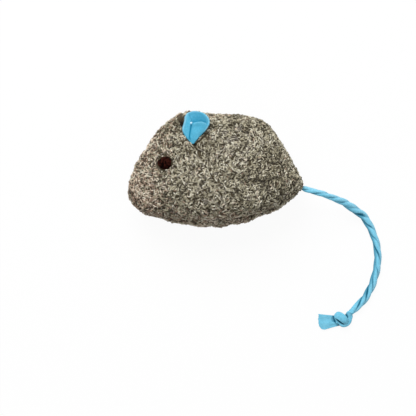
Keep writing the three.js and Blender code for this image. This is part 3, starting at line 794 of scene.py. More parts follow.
# Opening, hollow and raised lip of the dart: share of its length, millimetres
DART_OPENING = [
    (0, 0.1), (0.12, 0.2), (0.2, 0.6), (0.28, 2.6), (0.34, 3.8), (0.45, 3.7), (0.54, 2.3), (0.6, 1.2),
    (0.82, 0.9), (0.9, 0.3), (1, 0.1),
]
DART_HOLLOW = [
    (0, 0.2), (0.15, 0.4), (0.25, 1.8), (0.34, 3.2), (0.5, 3.0), (0.58, 1.9), (0.65, 1.4), (0.82, 1.2),
    (0.9, 0.5), (1, 0.1),
]
DART_LIP = [(0, 0.1), (0.2, 0.4), (0.35, 0.9), (0.5, 0.9), (0.7, 0.5), (0.9, 0.3), (1, 0)]
DART_FRONT_EDGE = 0.2
DART_LIP_PLACE = 1.7
DART_LIP_REACH = 1.3
EAR_SHADOW_DEPTH = 0.8
EAR_SHADOW_REACH = 0.8
FINE_LUMP_HEIGHT = 0.14
FINE_LUMP_SIZE = 5.5
GATHERS = 11
GATHER_HEIGHT = 0.45
GATHER_DEPTH = 0.4
GATHER_REACH = 7
EAR_SMOOTH_SHARE = 0.6


def distance_to_line(x, y, line):
    flat = np.stack([x, y], axis=-1).reshape(-1, 2)
    gaps = np.linalg.norm(flat[:, None] - line[None], axis=-1)
    nearest = gaps.argmin(axis=1)
    ahead = np.gradient(line, axis=0)[nearest]
    offset = flat - line[nearest]
    side = np.sign(ahead[:, 0] * offset[:, 1] - ahead[:, 1] * offset[:, 0])
    gap = gaps[np.arange(len(flat)), nearest]
    return gap.reshape(x.shape), side.reshape(x.shape), (nearest / (len(line) - 1)).reshape(x.shape)


def from_eye(x, y):
    return np.hypot(x - EYE_MIDDLE[0], y - EYE_MIDDLE[1]) - EYE_DIAMETER / 2


def from_ear(x, y):
    return np.hypot(x - EAR_CENTRE[0], y - EAR_CENTRE[1])


def across_dart(x, y):
    gap, side, along = distance_to_line(x, y, DART)
    return np.where(side < 0, gap, -gap), -from_table(DART_OPENING, along), along


def lump(x, y, r, pressed):
    total = 0
    for direction, spacing, start in LUMP_WAVES:
        turn = math.radians(direction)
        total = total + np.sin(start + TURN * (x * math.cos(turn) + y * math.sin(turn)) / spacing)
    height = LUMP_HEIGHT * (1 + total / len(LUMP_WAVES)) / 2
    dart_gap = distance_to_line(x, y, DART)[0] - DART_LIP_WIDTH
    for gap in (from_eye(x, y) - FIT_GAP, from_ear(x, y) - EAR_SMOOTH_SHARE * EAR_HEIGHT, dart_gap):
        height = height * smoothstep(gap, 0, LUMP_FADE)
    height = height * (1 - smoothstep(r, *LUMP_SEAM_SHARES))
    return height * smoothstep(r, *PRESSED_SHARES) if pressed else height


def relief(points, r, seed, pressed):
    x, y = points[..., 0], points[..., 1]
    raised = lump(x, y, r, pressed) + FINE_LUMP_HEIGHT * waves(points, FINE_LUMP_SIZE, seed)
    front, low, along = across_dart(x, y)
    behind = 1 - smoothstep(front, DART_FRONT_EDGE - 0.2, DART_FRONT_EDGE + 0.3)
    groove = smoothstep(front, low - 0.5, low + 0.3) * behind
    raised += from_table(DART_LIP, along) * bell(front - DART_LIP_PLACE, DART_LIP_REACH)
    hollow = from_table(DART_HOLLOW, along) * groove
    raised -= hollow
    raised -= EAR_SHADOW_DEPTH * bell(distance_to_line(x, y, EAR_SHADOW)[0], EAR_SHADOW_REACH)
    for middle_x, middle_y, size, depth in DENTS:
        raised -= depth * hill(x, y, middle_x, middle_y, size)
    for line, (width, depth) in zip(CREASE_LINES, CREASE_SIZES):
        raised -= depth * bell(distance_to_line(x, y, line)[0], width)
    root = points - TAIL_ROOT
    far = np.linalg.norm(root, axis=-1)
    gather = GATHER_HEIGHT * np.cos(GATHERS * np.arctan2(root[..., 2], root[..., 1])) - GATHER_DEPTH
    raised += gather * bell(far, GATHER_REACH) * smoothstep(far, 1.5, 4)
    # The second value weighs the painted shade in the deep dart hollow
    return raised, smoothstep(hollow, 0.8, 2.2)


# Cloth panels of the body
FLANK_ANGLES = 300
FLANK_RINGS = 70
NAP_DEPTH = 0.6
SEAM_DEPTH = 0.5
SEAM_ROLL = 1.6
SEAM_STITCHES = 76
SEAM_STITCH_SHARE = 0.35
SEAM_FADE = 3
BELLY_END = 0.995
BELLY_TIP_WIDTH = 0.1
BELLY_ROWS = 240
BELLY_COLUMNS = 61
BELLY_WAVE_HEIGHT = 0.3
BELLY_WAVE_SIZE = 12
BELLY_FINE_SIZE = 5
BELLY_HALF_RUN = 50
PUCKERS = [-22.75, -9.25, 3.25]
PUCKER_HEIGHT = 0.4
PUCKER_LENGTH = 2.8
PUCKER_WIDTH_SHARE = 0.7

# Where three seams meet, at the tail and the chin: the groove is shallow and the nap keeps clear
SEAM_ENDS = ((TAIL_ROOT, 2.2), (flank(CHIN_ANGLE, 1), 1.4))
SEAM_END_DEPTH_SHARE = 0.4


def seam_depth(points):
    far = np.minimum(*(np.linalg.norm(points - end, axis=-1) for end, _ in SEAM_ENDS))
    return SEAM_DEPTH * (SEAM_END_DEPTH_SHARE + (1 - SEAM_END_DEPTH_SHARE) * smoothstep(far, 3, 10))


def at_seams(points, lift, to_seam, place):
    stitch = 1 + SEAM_STITCH_SHARE * np.cos(place * SEAM_STITCHES)
    return lift * smoothstep(to_seam, 0, SEAM_FADE) - seam_depth(points) * stitch * bell(to_seam, SEAM_ROLL)


def at_seam_end(path):
    return any((np.linalg.norm(path - end, axis=1) < clear).any() for end, clear in SEAM_ENDS)


# Filling of a side: its sheet is held at the seams, dart, eye and ear, and pressed out between them
FILL_SCALE = 20
FILL_ANGLES = 132
FILL_RINGS = 26
FILL_FRAMES = 20
FILL_PRESSURE = 4
FILL_SLACK = 0.008
FILL_LIMIT = 1.0
FILL_QUALITY = 6
DART_SEWN = 1.6
EYE_SEWN = 0.5
EAR_SEWN_SHARE = 0.55


def ring_grid(angles, rings):
    quarter = np.arange(1, rings + 1) * (math.pi / 2) / rings
    return np.meshgrid(np.arange(angles) * TURN / angles, quarter, indexing="xy")


def filled_side():
    scene = bpy.context.scene
    angle, ring = ring_grid(FILL_ANGLES, FILL_RINGS)
    start = flank(angle, np.sin(ring))
    x, y = start[..., 0], start[..., 1]
    sewn = (distance_to_line(x, y, DART)[0] < DART_SEWN) | (from_eye(x, y) < EYE_SEWN)
    sewn |= from_ear(x, y) < EAR_SEWN_SHARE * EAR_HEIGHT
    sewn[-1] = True
    centre = start[0].mean(axis=0)
    points = np.vstack([start.reshape(-1, 3), centre]) * MILLIMETRE * FILL_SCALE
    faces = wrap_quads(FILL_RINGS, FILL_ANGLES)[:, ::-1].tolist()
    faces += fan(len(points) - 1, np.arange(FILL_ANGLES), False).tolist()
    mesh = bpy.data.meshes.new("filled_side")
    mesh.from_pydata(points.tolist(), [], faces)
    sheet = new_object("filled_side", mesh)
    held = sheet.vertex_groups.new(name="sewn")
    held.add(np.flatnonzero(sewn.ravel()).tolist(), 1, "REPLACE")
    cloth = sheet.modifiers.new("fill", "CLOTH")
    cloth.settings.quality = FILL_QUALITY
    cloth.settings.use_pressure = True
    cloth.settings.uniform_pressure_force = FILL_PRESSURE
    cloth.settings.shrink_min = -FILL_SLACK
    cloth.settings.vertex_group_mass = held.name
    cloth.settings.effector_weights.gravity = 0
    cloth.collision_settings.use_collision = False
    cloth.point_cache.frame_end = FILL_FRAMES
    for step in range(1, FILL_FRAMES + 1):
        scene.frame_set(step)
    moved = sheet.evaluated_get(bpy.context.evaluated_depsgraph_get()).data
    after = read(moved.vertices, "co")[:-1] / (MILLIMETRE * FILL_SCALE)
    scene.frame_set(1)
    bpy.data.objects.remove(sheet)
    offset = after.reshape(start.shape) - start
    far = np.linalg.norm(offset, axis=-1, keepdims=True)
    return offset * np.minimum(1, FILL_LIMIT / np.maximum(far, 1e-9))


def between_rings(grid, angle, ring):
    across = angle / TURN * FILL_ANGLES
    along = np.clip(ring / (math.pi / 2) * FILL_RINGS - 1, 0, FILL_RINGS - 1.001)
    row, column = along.astype(int), across.astype(int)
    s, t = (along - row)[..., None], (across - column)[..., None]
    near, far = column % FILL_ANGLES, (column + 1) % FILL_ANGLES
    lower = grid[row, near] * (1 - t) + grid[row, far] * t
    upper = grid[row + 1, near] * (1 - t) + grid[row + 1, far] * t
    return lower * (1 - s) + upper * s


def flank_sheet(seed, pressed, filling):
    angle, ring = ring_grid(FLANK_ANGLES, FLANK_RINGS)
    points = flank(angle, np.sin(ring))
    if filling is not None:
        held = smoothstep(np.sin(ring), *PRESSED_SHARES) if pressed else np.ones_like(ring)
        points = points + between_rings(filling, angle, ring) * held[..., None]
    around = np.roll(points, -1, axis=1) - np.roll(points, 1, axis=1)
    normals = unit(np.cross(np.gradient(points, axis=0), around))
    run = np.linalg.norm(np.diff(points, axis=0), axis=-1)
    to_seam = np.concatenate([np.cumsum(run[::-1], axis=0)[::-1], np.zeros((1, FLANK_ANGLES))])
    raised, hollow = relief(points, np.sin(ring), seed, pressed)
    lift = at_seams(points, raised, to_seam, angle)
    lift -= BROW_DENT[3] * hill(points[..., 0], points[..., 1], *BROW_DENT[:3])
    return points + normals * (lift - NAP_DEPTH)[..., None], normals, hollow


def belly_sheet(seed):
    along = np.linspace(-BELLY_END, BELLY_END, BELLY_ROWS)[:, None]
    across = np.linspace(-1, 1, BELLY_COLUMNS)[None, :]
    angle = belly_angle(along) + 0 * across
    belly = belly_share(angle)
    radius = rim(angle) - belly * BELLY_BULGE * across**2
    height = across * np.maximum(belly * BELLY_WIDTH / 2 - SEAM_GAP / 2, BELLY_TIP_WIDTH / 2)
    points = from_centre(angle, radius, height)
    normals = unit(np.cross(np.gradient(points, axis=0), np.gradient(points, axis=1)))
    to_side = (1 - np.abs(across)) * belly * BELLY_WIDTH / 2
    to_seam = np.minimum(to_side, (BELLY_END - np.abs(along)) * BELLY_HALF_RUN)
    lift = BELLY_WAVE_HEIGHT * waves(points, BELLY_WAVE_SIZE, seed)
    lift += FINE_LUMP_HEIGHT * waves(points, BELLY_FINE_SIZE, seed + 1)
    for place in PUCKERS:
        lift += PUCKER_HEIGHT * bell(points[..., 0] - place, PUCKER_LENGTH) * bell(across, PUCKER_WIDTH_SHARE)
    lift = at_seams(points, lift, to_seam, along)
    return points + normals * (lift - NAP_DEPTH)[..., None], normals


filling = filled_side()
left_outer, left_normals, left_hollow_shade = flank_sheet(11, False, filling)
right_outer, right_normals, right_hollow_shade = flank_sheet(23, True, filling)
right_outer = flattened(mirrored(right_outer), 0)
right_normals = right_normals * [1, 1, -1]
belly_outer, belly_normals = belly_sheet(31)


def side_cloth(name, outer, normals, hollow):
    inner = (outer - normals * CLOTH_THICKNESS)[::-1][::3]
    points, quads, caps = closed_rings(np.concatenate([outer, inner]))
    piece = new_piece(name, points, quads, caps, CLOTH)
    # The "hollow" attribute carries the painted shade of the dart hollow
    write_shade(piece, "hollow", np.append(hollow, np.zeros(len(points) - hollow.size)))
    return piece


left_cloth = side_cloth("left_cloth", left_outer, left_normals, left_hollow_shade)
right_cloth = side_cloth("right_cloth", right_outer, right_normals, right_hollow_shade)
belly_points, belly_quads = plate_mesh(belly_outer, belly_outer - belly_normals * CLOTH_THICKNESS)
belly_cloth = new_piece("belly_cloth", belly_points, belly_quads, (), CLOTH)
panels = {"left_side_panel": left_cloth, "right_side_panel": right_cloth, "belly_panel": belly_cloth}
for node_name, cloth in panels.items():
    stand_in(cloth, "body", node_name)


# Nap: short curved yarns that lie on the cloth
STRAND_TAPER = np.array([0.45, 0.95, 1, 0.95, 0.45])
STRAND_ARCH = np.array([-0.6, 0.6, 1, 0.6, -0.6])
STRAND_POINTS = len(STRAND_TAPER)
STRAND_SIDES = 3
STRAND_WIDTH = (0.5, 0.8)
STRAND_LENGTH = (1.8, 4.0)
STRAND_LIFT = (0.2, 0.8)
STRAND_CURL = 0.38
STRAND_CROWN = 1.1
STRAND_UV = 0.0008
STRAND_TONE = 0.6
TONE_SPREAD = 0.27
DARK_STRANDS = 0.09
DARK_STRAND_WIDTH = 0.7
DARK_STRAND_TONE = -0.6
FLANK_STRANDS = 7200
BELLY_STRANDS = 1900
RIGHT_FLOOR = 0.02
EYE_CLEAR = 0.2
DART_OVERLAP = 0.1
EAR_SHADOW_CLEAR = 0.4
INSIDE = Vector((CENTRE[0], CENTRE[1], MID_HEIGHT))


def left_out(path):
    x, y = np.vstack([path, (path[1:] + path[:-1]) / 2])[:, :2].T
    if (from_eye(x, y) < EYE_CLEAR).any():
        return True
    front, low, _ = across_dart(x, y)
    open_dart = (front > low + DART_OVERLAP) & (front < DART_FRONT_EDGE - DART_OVERLAP)
    # Along the ear's shadow line the yarns are left out, so the dark ground cloth shows as a painted shadow
    return open_dart.any() or (distance_to_line(x, y, EAR_SHADOW)[0] < EAR_SHADOW_CLEAR).any()


# Lighter and darker areas of the flank, in part the yarn's own tone and in part painted light and shade, as
# on the lit upper middle and the shaded low rear and beside the dart: place, reach, how much lighter
TONE_AND_LIGHT_AREAS = [
    (8.5, 7.5, 8, 0.45), (-34, 12, 6, 0.24), (22, -8, 8, -0.26), (30, -1, 6, -0.12), (-17, 27, 6, 0.2),
    (-19.5, 20, 4, -0.24), (-19, 0, 5, -0.12), (-40, -4, 6, 0.16), (-2, -27, 16, 0.14),
]
# Painted shade of the yarns along the creases, for each millimetre of crease depth
CREASE_SHADE = 0.45

# Uneven tone of the flank: how much, size, seed
TONE_WAVES = [(0.11, 6, 90), (0.08, 14, 91), (0.05, 30, 92)]

# Share of pinkish yarns: everywhere, and more on the nose, low on the side and along the front of the back
PINK_SHARES = (0.03, 0.75, 0.5, 0.3)


def pinkness(point):
    nose = 1 - smoothstep(point[0], -40, -16)
    low = 1 - smoothstep(point[1], -28, -14)
    ridge = smoothstep(point[1], 20, 28) * (1 - smoothstep(point[0], -5, 25))
    return sum(share * here for share, here in zip(PINK_SHARES, (1, nose, low, ridge)))


def broad_tone_and_shade(point):
    tone = sum(height * waves(point, size, seed) for height, size, seed in TONE_WAVES)
    for middle_x, middle_y, size, lighter in TONE_AND_LIGHT_AREAS:
        tone += lighter * hill(*point[:2], middle_x, middle_y, size)
    # Painted shade along the creases
    for line, (width, depth) in zip(CREASE_LINES, CREASE_SIZES):
        tone -= CREASE_SHADE * depth * bell(np.linalg.norm(line - point[:2], axis=1).min(), width)
    return tone


def on_cloth(tree, point):
    place, up, _, _ = tree.find_nearest(point)
    return place, -up if up.dot(place - INSIDE) < 0 else up


def nap(name, outer, count, seed, on_flank, floor):
    draw = np.random.default_rng(seed)
    flat = outer.reshape(-1, 3)
    quads = (wrap_quads if on_flank else grid_quads)(*outer.shape[:2])
    a, b, c, d = quads.T
    tree = BVHTree.FromPolygons([tuple(p) for p in flat], quads.tolist())
    area = np.linalg.norm(np.cross(flat[c] - flat[a], flat[d] - flat[b]), axis=-1) / 2
    chosen = draw.choice(len(quads), 2 * count, p=area / area.sum())
    strands, tones = [], []
    for k in chosen:
        if len(strands) == count:
            break
        s, t = draw.uniform(0, 1, 2)
        p, q, u, v = flat[quads[k]]
        middle = (p * (1 - s) + q * s) * (1 - t) + (v * (1 - s) + u * s) * t
        heading, curl = draw.uniform(0, TURN), draw.normal(0, STRAND_CURL)
        length, lift = draw.uniform(*STRAND_LENGTH), draw.uniform(*STRAND_LIFT)
        width, shade, hue = draw.uniform(*STRAND_WIDTH), draw.normal(0, TONE_SPREAD), draw.uniform()
        if draw.uniform() < DARK_STRANDS:
            width, shade = DARK_STRAND_WIDTH * width, DARK_STRAND_TONE
        spot, normal = on_cloth(tree, Vector(middle))
        side = normal.orthogonal().normalized()
        other = normal.cross(side)
        path, ups = [], []
        for run in np.linspace(-length / 2, length / 2, STRAND_POINTS):
            turn = heading + curl * run / 2
            step = side * (math.cos(turn) * run) + other * (math.sin(turn) * run)
            place, up = on_cloth(tree, spot + step)
            path.append(place)
            ups.append(up)
        path, ups = np.array(path), np.array(ups)
        if at_seam_end(path) or (on_flank and left_out(path)):
            continue
        path = path + ups * (STRAND_ARCH * lift)[:, None]
        across = unit(np.cross(unit(np.gradient(path, axis=0)), ups))
        half = (STRAND_TAPER * width / 2)[:, None]
        crown = path + ups * half * STRAND_CROWN
        ring = np.stack([path + across * half, crown, path - across * half], axis=1)
        strands.append(flattened(ring, floor) if floor is not None else ring)
        tone = np.clip(STRAND_TONE + shade + broad_tone_and_shade(middle), 0.0, 0.999)
        tones.append(tone / 2 + (0.5 if hue < pinkness(middle) else 0))
    piece = strand_piece(name, np.array(strands), np.array(tones))
    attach(piece, "body")


def strand_piece(name, strands, tones):
    count = len(strands)
    size = STRAND_POINTS * STRAND_SIDES
    walls = wrap_quads(STRAND_POINTS, STRAND_SIDES)
    ends = np.array([[0, 2, 1], [size - 3, size - 2, size - 1]])
    start = np.arange(count)[:, None, None] * size
    ring, side = np.divmod(np.arange(len(walls)), STRAND_SIDES)
    low, high = ring / (STRAND_POINTS - 1), (ring + 1) / (STRAND_POINTS - 1)
    wall_uv = np.stack([np.stack([low, low, high, high], -1),
                        np.stack([side, side + 1, side + 1, side], -1) * STRAND_UV], axis=-1)
    end_uv = np.array([[[0, 0], [0.03, 0], [0, STRAND_UV]], [[1, 0], [0.97, 0], [1, STRAND_UV]]])
    tone = np.stack([np.zeros(count), 0.0005 + tones * 0.996], axis=-1)[:, None, None]
    uv = np.concatenate([(wall_uv[None] + tone).reshape(-1, 2), (end_uv[None] + tone).reshape(-1, 2)])
    quads = (walls[None] + start).reshape(-1, 4)
    triangles = (ends[None] + start).reshape(-1, 3)
    return new_piece(name, strands.reshape(-1, 3), quads, triangles, YARN, uv=uv)


nap("left_cloth_nap", left_outer, FLANK_STRANDS, 5, True, None)
nap("right_cloth_nap", right_outer, FLANK_STRANDS, 6, True, RIGHT_FLOOR)
nap("belly_cloth_nap", belly_outer, BELLY_STRANDS, 7, False, None)


# Eyes: satin stitches side by side over a low dome
EYE_STITCHES = 8
EYE_STITCH_RINGS = 22
EYE_THREAD_RADIUS = 0.5
EYE_STRETCH = (1.14, 0.94)
EYE_DOME_SHARE = 1.08
EYE_END_DEPTH = 0.8
EYE_END_GAP = 0.15
EYE_RAGGED = 0.08
EYE_SLANT = 0.06
THREAD_SIDES = 8
SIDES = (("left", False), ("right", True))


def eye(side, on_right):
    place = flank_at(*EYE_MIDDLE)
    out = flank_normal(*EYE_MIDDLE)
    up = unit(np.array([0, 1, 0]) - out * out[1])
    across = np.cross(up, out)
    points, quads, caps = [], [], []
    reach = EYE_DIAMETER / 2
    draw = np.random.default_rng(3)
    run = np.linspace(-1, 1, EYE_STITCH_RINGS)
    for k in range(EYE_STITCHES):
        offset = (2 * k / (EYE_STITCHES - 1) - 1) * (reach - EYE_THREAD_RADIUS)
        half = math.sqrt(max(0.3, reach**2 - offset**2)) - EYE_END_GAP + draw.uniform(-EYE_RAGGED, EYE_RAGGED)
        slant = draw.uniform(-EYE_SLANT, EYE_SLANT)
        bow = EYE_STRETCH[0] * offset * (1.04 - 0.12 * run**2) + slant * run
        away = (offset**2 + (half * run) ** 2) / (reach * EYE_DOME_SHARE) ** 2
        dome = EYE_HEIGHT * np.sqrt(np.maximum(0, 1 - away)) - EYE_END_DEPTH * np.abs(run) ** 8
        rise = EYE_STRETCH[1] * half * run
        path = place + bow[:, None] * across + rise[:, None] * up + dome[:, None] * out
        made = swept(mirrored(path) if on_right else path, THREAD_SIDES, EYE_THREAD_RADIUS)
        points.append(made[0])
        quads.append(made[1] + k * len(made[0]))
        caps.append(made[2] + k * len(made[0]))
    made = (np.vstack(rows) for rows in (points, quads, caps))
    piece = new_piece(side + "_eye_stitches", *made, EYE_THREAD)
    stand_in(piece, "body", side + "_eye")


for side, on_right in SIDES:
    eye(side, on_right)


# Ears: felt folded to the front from both sides, the right fold only up to the rim of the pocket
EAR_BASE = flank_at(*on_body(EAR_BASE_SHARES))
EAR_MIDDLE = np.array(EAR_MIDDLE_SHARES) * [EAR_WIDTH, EAR_HEIGHT]
EAR_DRAWN_IN = 0.965
EAR_POCKET = [2.4, 11.4]
EAR_POCKET_REACH = 5.6
EAR_FRONT_RISE = 1.8
EAR_RIM_RISE = 0.9
EAR_POCKET_DEPTH = 1.1
EAR_LIP_RISE = 0.7
EAR_CREASE_GAP = 0.3
EAR_FELT_THICKNESS = 1.0
EAR_CLEARANCE = 0.9
EAR_VOXEL = 0.2
EAR_SMOOTHING = 2
EAR_LINE_STEPS = 400
EAR_EDGE_POINTS = 180
EAR_BACK_RINGS = 46
EAR_FOLD_ROWS = 61
EAR_FOLD_COLUMNS = 41
EAR_EDGE_RISE = 0.3
EAR_CREASE_DIP = 0.7
EAR_LAID_DEPTH = 1.9
EAR_TIP_DROP = 0.6

# Rim of the right fold: share of the way from the crease to the right edge, share of the height
EAR_RIM = [(0, 0.615), (0.3, 0.65), (0.55, 0.66), (0.8, 0.61), (1, 0.5)]


def ear_line(column, v):
    cut = np.asarray(EAR_CUT_SHARES if column < 2 else EAR_CREASE_SHARES)
    shares = np.vstack([[0, 0], cut[:, [column, 2]] if column < 2 else cut])
    dense = spline(shares, EAR_LINE_STEPS)
    return np.interp(v, dense[:, 1], dense[:, 0]) * EAR_WIDTH


def on_ear(x, v, lift):
    x = EAR_MIDDLE[0] + EAR_DRAWN_IN * (x - EAR_MIDDLE[0])
    y = EAR_MIDDLE[1] + EAR_DRAWN_IN * (v * EAR_HEIGHT - EAR_MIDDLE[1])
    return EAR_BASE + np.stack([x, y, lift + EAR_RISE_RATIO * x - EAR_FALL_RATIO * y], axis=-1)


def ear_bowl(x, v):
    away = np.hypot(x - EAR_POCKET[0], v * EAR_HEIGHT - EAR_POCKET[1]) / EAR_POCKET_REACH
    return -EAR_POCKET_DEPTH * (1 - np.minimum(1, away) ** 2)


def ear_back():
    cut = np.asarray(EAR_CUT_SHARES)
    loop = np.vstack([[[0, 0]], cut[:, [0, 2]], [[0.08, 1.0]], cut[::-1][:, [1, 2]]])
    edge = spline(loop * [EAR_WIDTH, EAR_HEIGHT], EAR_EDGE_POINTS, closed=True)
    share = np.linspace(0.03, 1, EAR_BACK_RINGS)[:, None]
    x = EAR_MIDDLE[0] + share * (edge[:, 0] - EAR_MIDDLE[0])
    v = (EAR_MIDDLE[1] + share * (edge[:, 1] - EAR_MIDDLE[1])) / EAR_HEIGHT
    lip = EAR_LIP_RISE * smoothstep(share, 0.72, 1.0)
    lip = lip * smoothstep(v, 0.42, 0.56) * (1 - 0.7 * smoothstep(v, 0.78, 0.92))
    surface = on_ear(x, v, ear_bowl(x, v) + lip)
    carried = flank_at(surface[..., 0], surface[..., 1])[..., 2] + EAR_CLEARANCE * smoothstep(v, 0, 0.2)
    surface[..., 2] = np.maximum(surface[..., 2], carried)
    around = np.roll(surface, -1, axis=1) - np.roll(surface, 1, axis=1)
    half = unit(np.cross(np.gradient(surface, axis=0), around)) * EAR_FELT_THICKNESS / 2
    return closed_rings(np.concatenate([surface + half, (surface - half)[::-1]]))


def ear_fold(column, rim_shares, gap):
    s = np.linspace(0, 1, EAR_FOLD_COLUMNS)[None, :]
    t = np.linspace(0, 1, EAR_FOLD_ROWS)[:, None]
    v = t * from_table(rim_shares, 1 - s)
    x = ear_line(column, v) * (1 - s) + (ear_line(2, v) + gap) * s
    rise = EAR_EDGE_RISE + (EAR_FRONT_RISE - EAR_EDGE_RISE) * np.sin(np.clip(s / 0.45, 0, 1) * math.pi / 2)
    dip = EAR_CREASE_DIP * smoothstep(s, 0.8, 1.0) ** 2
    puffed = np.sin(np.clip(v / 0.42, 0, 1) * math.pi / 2)
    if column == 1:
        moved = EAR_RIM_RISE * smoothstep(t, 0.72, 1.0) * smoothstep(s, 0.1, 0.5)
    else:
        moved = -EAR_LAID_DEPTH * smoothstep(v, 0.62, 0.8) * smoothstep(s, 0.35, 1.0)
    lift = (rise - dip) * puffed + moved - EAR_TIP_DROP * smoothstep(v, 0.7, 0.95)
    surface = on_ear(x, v, np.maximum(lift, ear_bowl(x, v)))
    half = unit(np.cross(np.gradient(surface, axis=1), np.gradient(surface, axis=0))) * EAR_FELT_THICKNESS / 2
    return (*plate_mesh(surface + half, surface - half), ())


# Painted shade in the pocket above the rim and along the crease, and painted highlights on the lips and the
# rim
def ear_shade(piece, on_right):
    points = read(piece.data.vertices, "co") / MILLIMETRE - SHIFT
    x, y, z = ((mirrored(points) if on_right else points) - EAR_BASE).T
    lift = z - EAR_RISE_RATIO * x + EAR_FALL_RATIO * y
    x = EAR_MIDDLE[0] + (x - EAR_MIDDLE[0]) / EAR_DRAWN_IN
    v = (EAR_MIDDLE[1] + (y - EAR_MIDDLE[1]) / EAR_DRAWN_IN) / EAR_HEIGHT
    crease, left, right = ear_line(2, v), ear_line(0, v), ear_line(1, v)
    over_rim = v - from_table(EAR_RIM, (x - crease) / np.maximum(right - crease, 0.01))
    inside = smoothstep(x, crease - 0.3, crease + 0.5) * (1 - smoothstep(x, right - 2.2, right - 1.0))
    inside = inside * smoothstep(over_rim, 0, 0.03) * (1 - smoothstep(v, 0.88, 0.96))
    inside = inside * (1 - smoothstep(lift, 0.4, 1.4))
    pocket = inside * (0.34 + 0.4 * bell(over_rim, 0.09) - 0.2 * smoothstep(v, 0.78, 0.92))
    line = bell(x - crease, 0.42) * smoothstep(v, 0.08, 0.16) * (1 - smoothstep(v, 0.56, 0.62))
    to_edge = np.minimum(x - left, right - x)
    lip_highlight = (1 - smoothstep(to_edge, 0.2, 0.9)) * smoothstep(v, 0.3, 0.5) + smoothstep(v, 0.93, 1.0)
    rim_highlight = bell(over_rim, 0.035) * smoothstep(lift, 1.2, 2.0) * smoothstep(x, crease + 0.8, crease + 1.8)
    write_shade(piece, "crease", np.maximum(pocket, line))
    write_shade(piece, "edge", np.clip(lip_highlight + 0.4 * rim_highlight, 0, 1))


def ear(side, on_right):
    left_rim = [(0, EAR_LEFT_FOLD_SHARE), (1, EAR_LEFT_FOLD_SHARE)]
    parts = (ear_back(), ear_fold(0, left_rim, -EAR_CREASE_GAP), ear_fold(1, EAR_RIM, EAR_CREASE_GAP))
    plates = []
    for points, quads, triangles in parts:
        plates.append(new_piece("felt", mirrored(points) if on_right else points, quads, triangles))
    piece = fused(side + "_ear_felt", plates, EAR_VOXEL, EAR_SMOOTHING, FELT)
    ear_shade(piece, on_right)
    stand_in(piece, side + "_ear", side + "_ear")
    return piece


felts = {}
for side, on_right in SIDES:
    felt = ear(side, on_right)
    felts[side] = felt


# Stitch that tacks the fold of each ear
TACK_STANDS_PROUD = 0.4
TACK_TURNS = 3.5
TACK_SIZE_SHARE = 0.62
TACK_THREAD_RADIUS = 0.26
TACK_RINGS = 120


def tack(side, on_right):
    outward = -1 if on_right else 1
    low, high = (np.array(corner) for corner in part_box(side + "_ear_tack"))
    middle, size = (low + high) / 2 / MILLIMETRE - SHIFT, (high - low).min() / 2 / MILLIMETRE
    far_off = Vector((low + high) / 2) + Vector((0, 0, outward * EAR_HEIGHT * MILLIMETRE))
    spot = BVHTree.FromPolygons(*all_faces([felts[side]])).ray_cast(far_off, Vector((0, 0, -outward)))[0]
    middle[2] = spot[2] / MILLIMETRE - SHIFT[2] + outward * TACK_STANDS_PROUD
    turns = np.linspace(0, 1, TACK_RINGS)
    angle = turns * TURN * TACK_TURNS
    polar = turns * math.pi * 0.9 + 0.1
    route = [np.sin(polar) * np.cos(angle), np.sin(polar) * np.sin(angle), np.cos(polar)]
    path = middle + TACK_SIZE_SHARE * size * np.stack(route, axis=-1)
    coil = swept(path, THREAD_SIDES, TACK_THREAD_RADIUS)
    piece = new_piece(side + "_ear_tack_knot", *coil, TACK_THREAD)
    stand_in(piece, side + "_ear", side + "_ear_tack")


for side, on_right in SIDES:
    tack(side, on_right)


# Hand stitches that close the right belly seam: a two-ply thread
CLOSING_SHARES = (-0.3, 0.12)
CLOSING_STEPS = 1200
CLOSING_RINGS = 420
CLOSING_SIDES = 10
CLOSING_TURNS = 60
PLY_GROOVE = 0.18


def closing_route():
    along = np.linspace(*CLOSING_SHARES, 2 * CLOSING_STITCHES + 1)
    angle = belly_angle(along)
    belly = belly_share(angle)
    seam = belly * BELLY_WIDTH / 2
    height = seam + CLOSING_STITCH_REACH * (-1.0) ** np.arange(len(along))
    across = np.minimum(1, height / seam)
    radius = rim(angle) - belly * BELLY_BULGE * across**2 + FIT_GAP + THREAD_DIAMETER / 2
    return mirrored(from_centre(angle, radius, height))


def two_ply(share, angle):
    turned = angle + share * TURN * CLOSING_TURNS
    return THREAD_DIAMETER / 2 * (1 - PLY_GROOVE + PLY_GROOVE * np.cos(2 * turned))


closing_path = even(spline(closing_route(), CLOSING_STEPS), CLOSING_RINGS)
closing = new_piece("closing_stitches", *swept(closing_path, CLOSING_SIDES, two_ply), SEAM_THREAD)
stand_in(closing, "body", "closing_stitch_thread")


# Stuffing: loose fibre that stays clear of the cloth
STUFFING_VOXEL = 1.0
STUFFING_INSET = 3.4
STUFFING_FLUFF = 0.7
FLUFF_SIZE = 5
STUFFING_SMOOTHING = 8


def stuffing(node_name, seed):
    wad = bpy.data.objects.new("wad", frame["nodes"][node_name].data.copy())
    piece = fused(node_name + "_fluff", [wad], STUFFING_VOXEL, STUFFING_SMOOTHING, FIBREFILL)
    points = read(piece.data.vertices, "co") / MILLIMETRE
    normals = read(piece.data.vertex_normals, "vector")
    inset = STUFFING_INSET + STUFFING_FLUFF * np.clip(waves(points, FLUFF_SIZE, seed), -1.5, 1.5)
    points = (points - normals * inset[:, None]) * MILLIMETRE
    piece.data.vertices.foreach_set("co", points.astype(np.float32).ravel())
    piece.data.update()
    stand_in(piece, "body", node_name)


stuffing("head_stuffing", 61)
stuffing("body_stuffing", 62)


# Catnip: crumbled dry leaf
LEAF_FLAKES = 700
LEAF_LENGTH = (1.4, 2.8)
LEAF_WIDTH = (0.7, 1.5)
LEAF_THICKNESS = 0.2


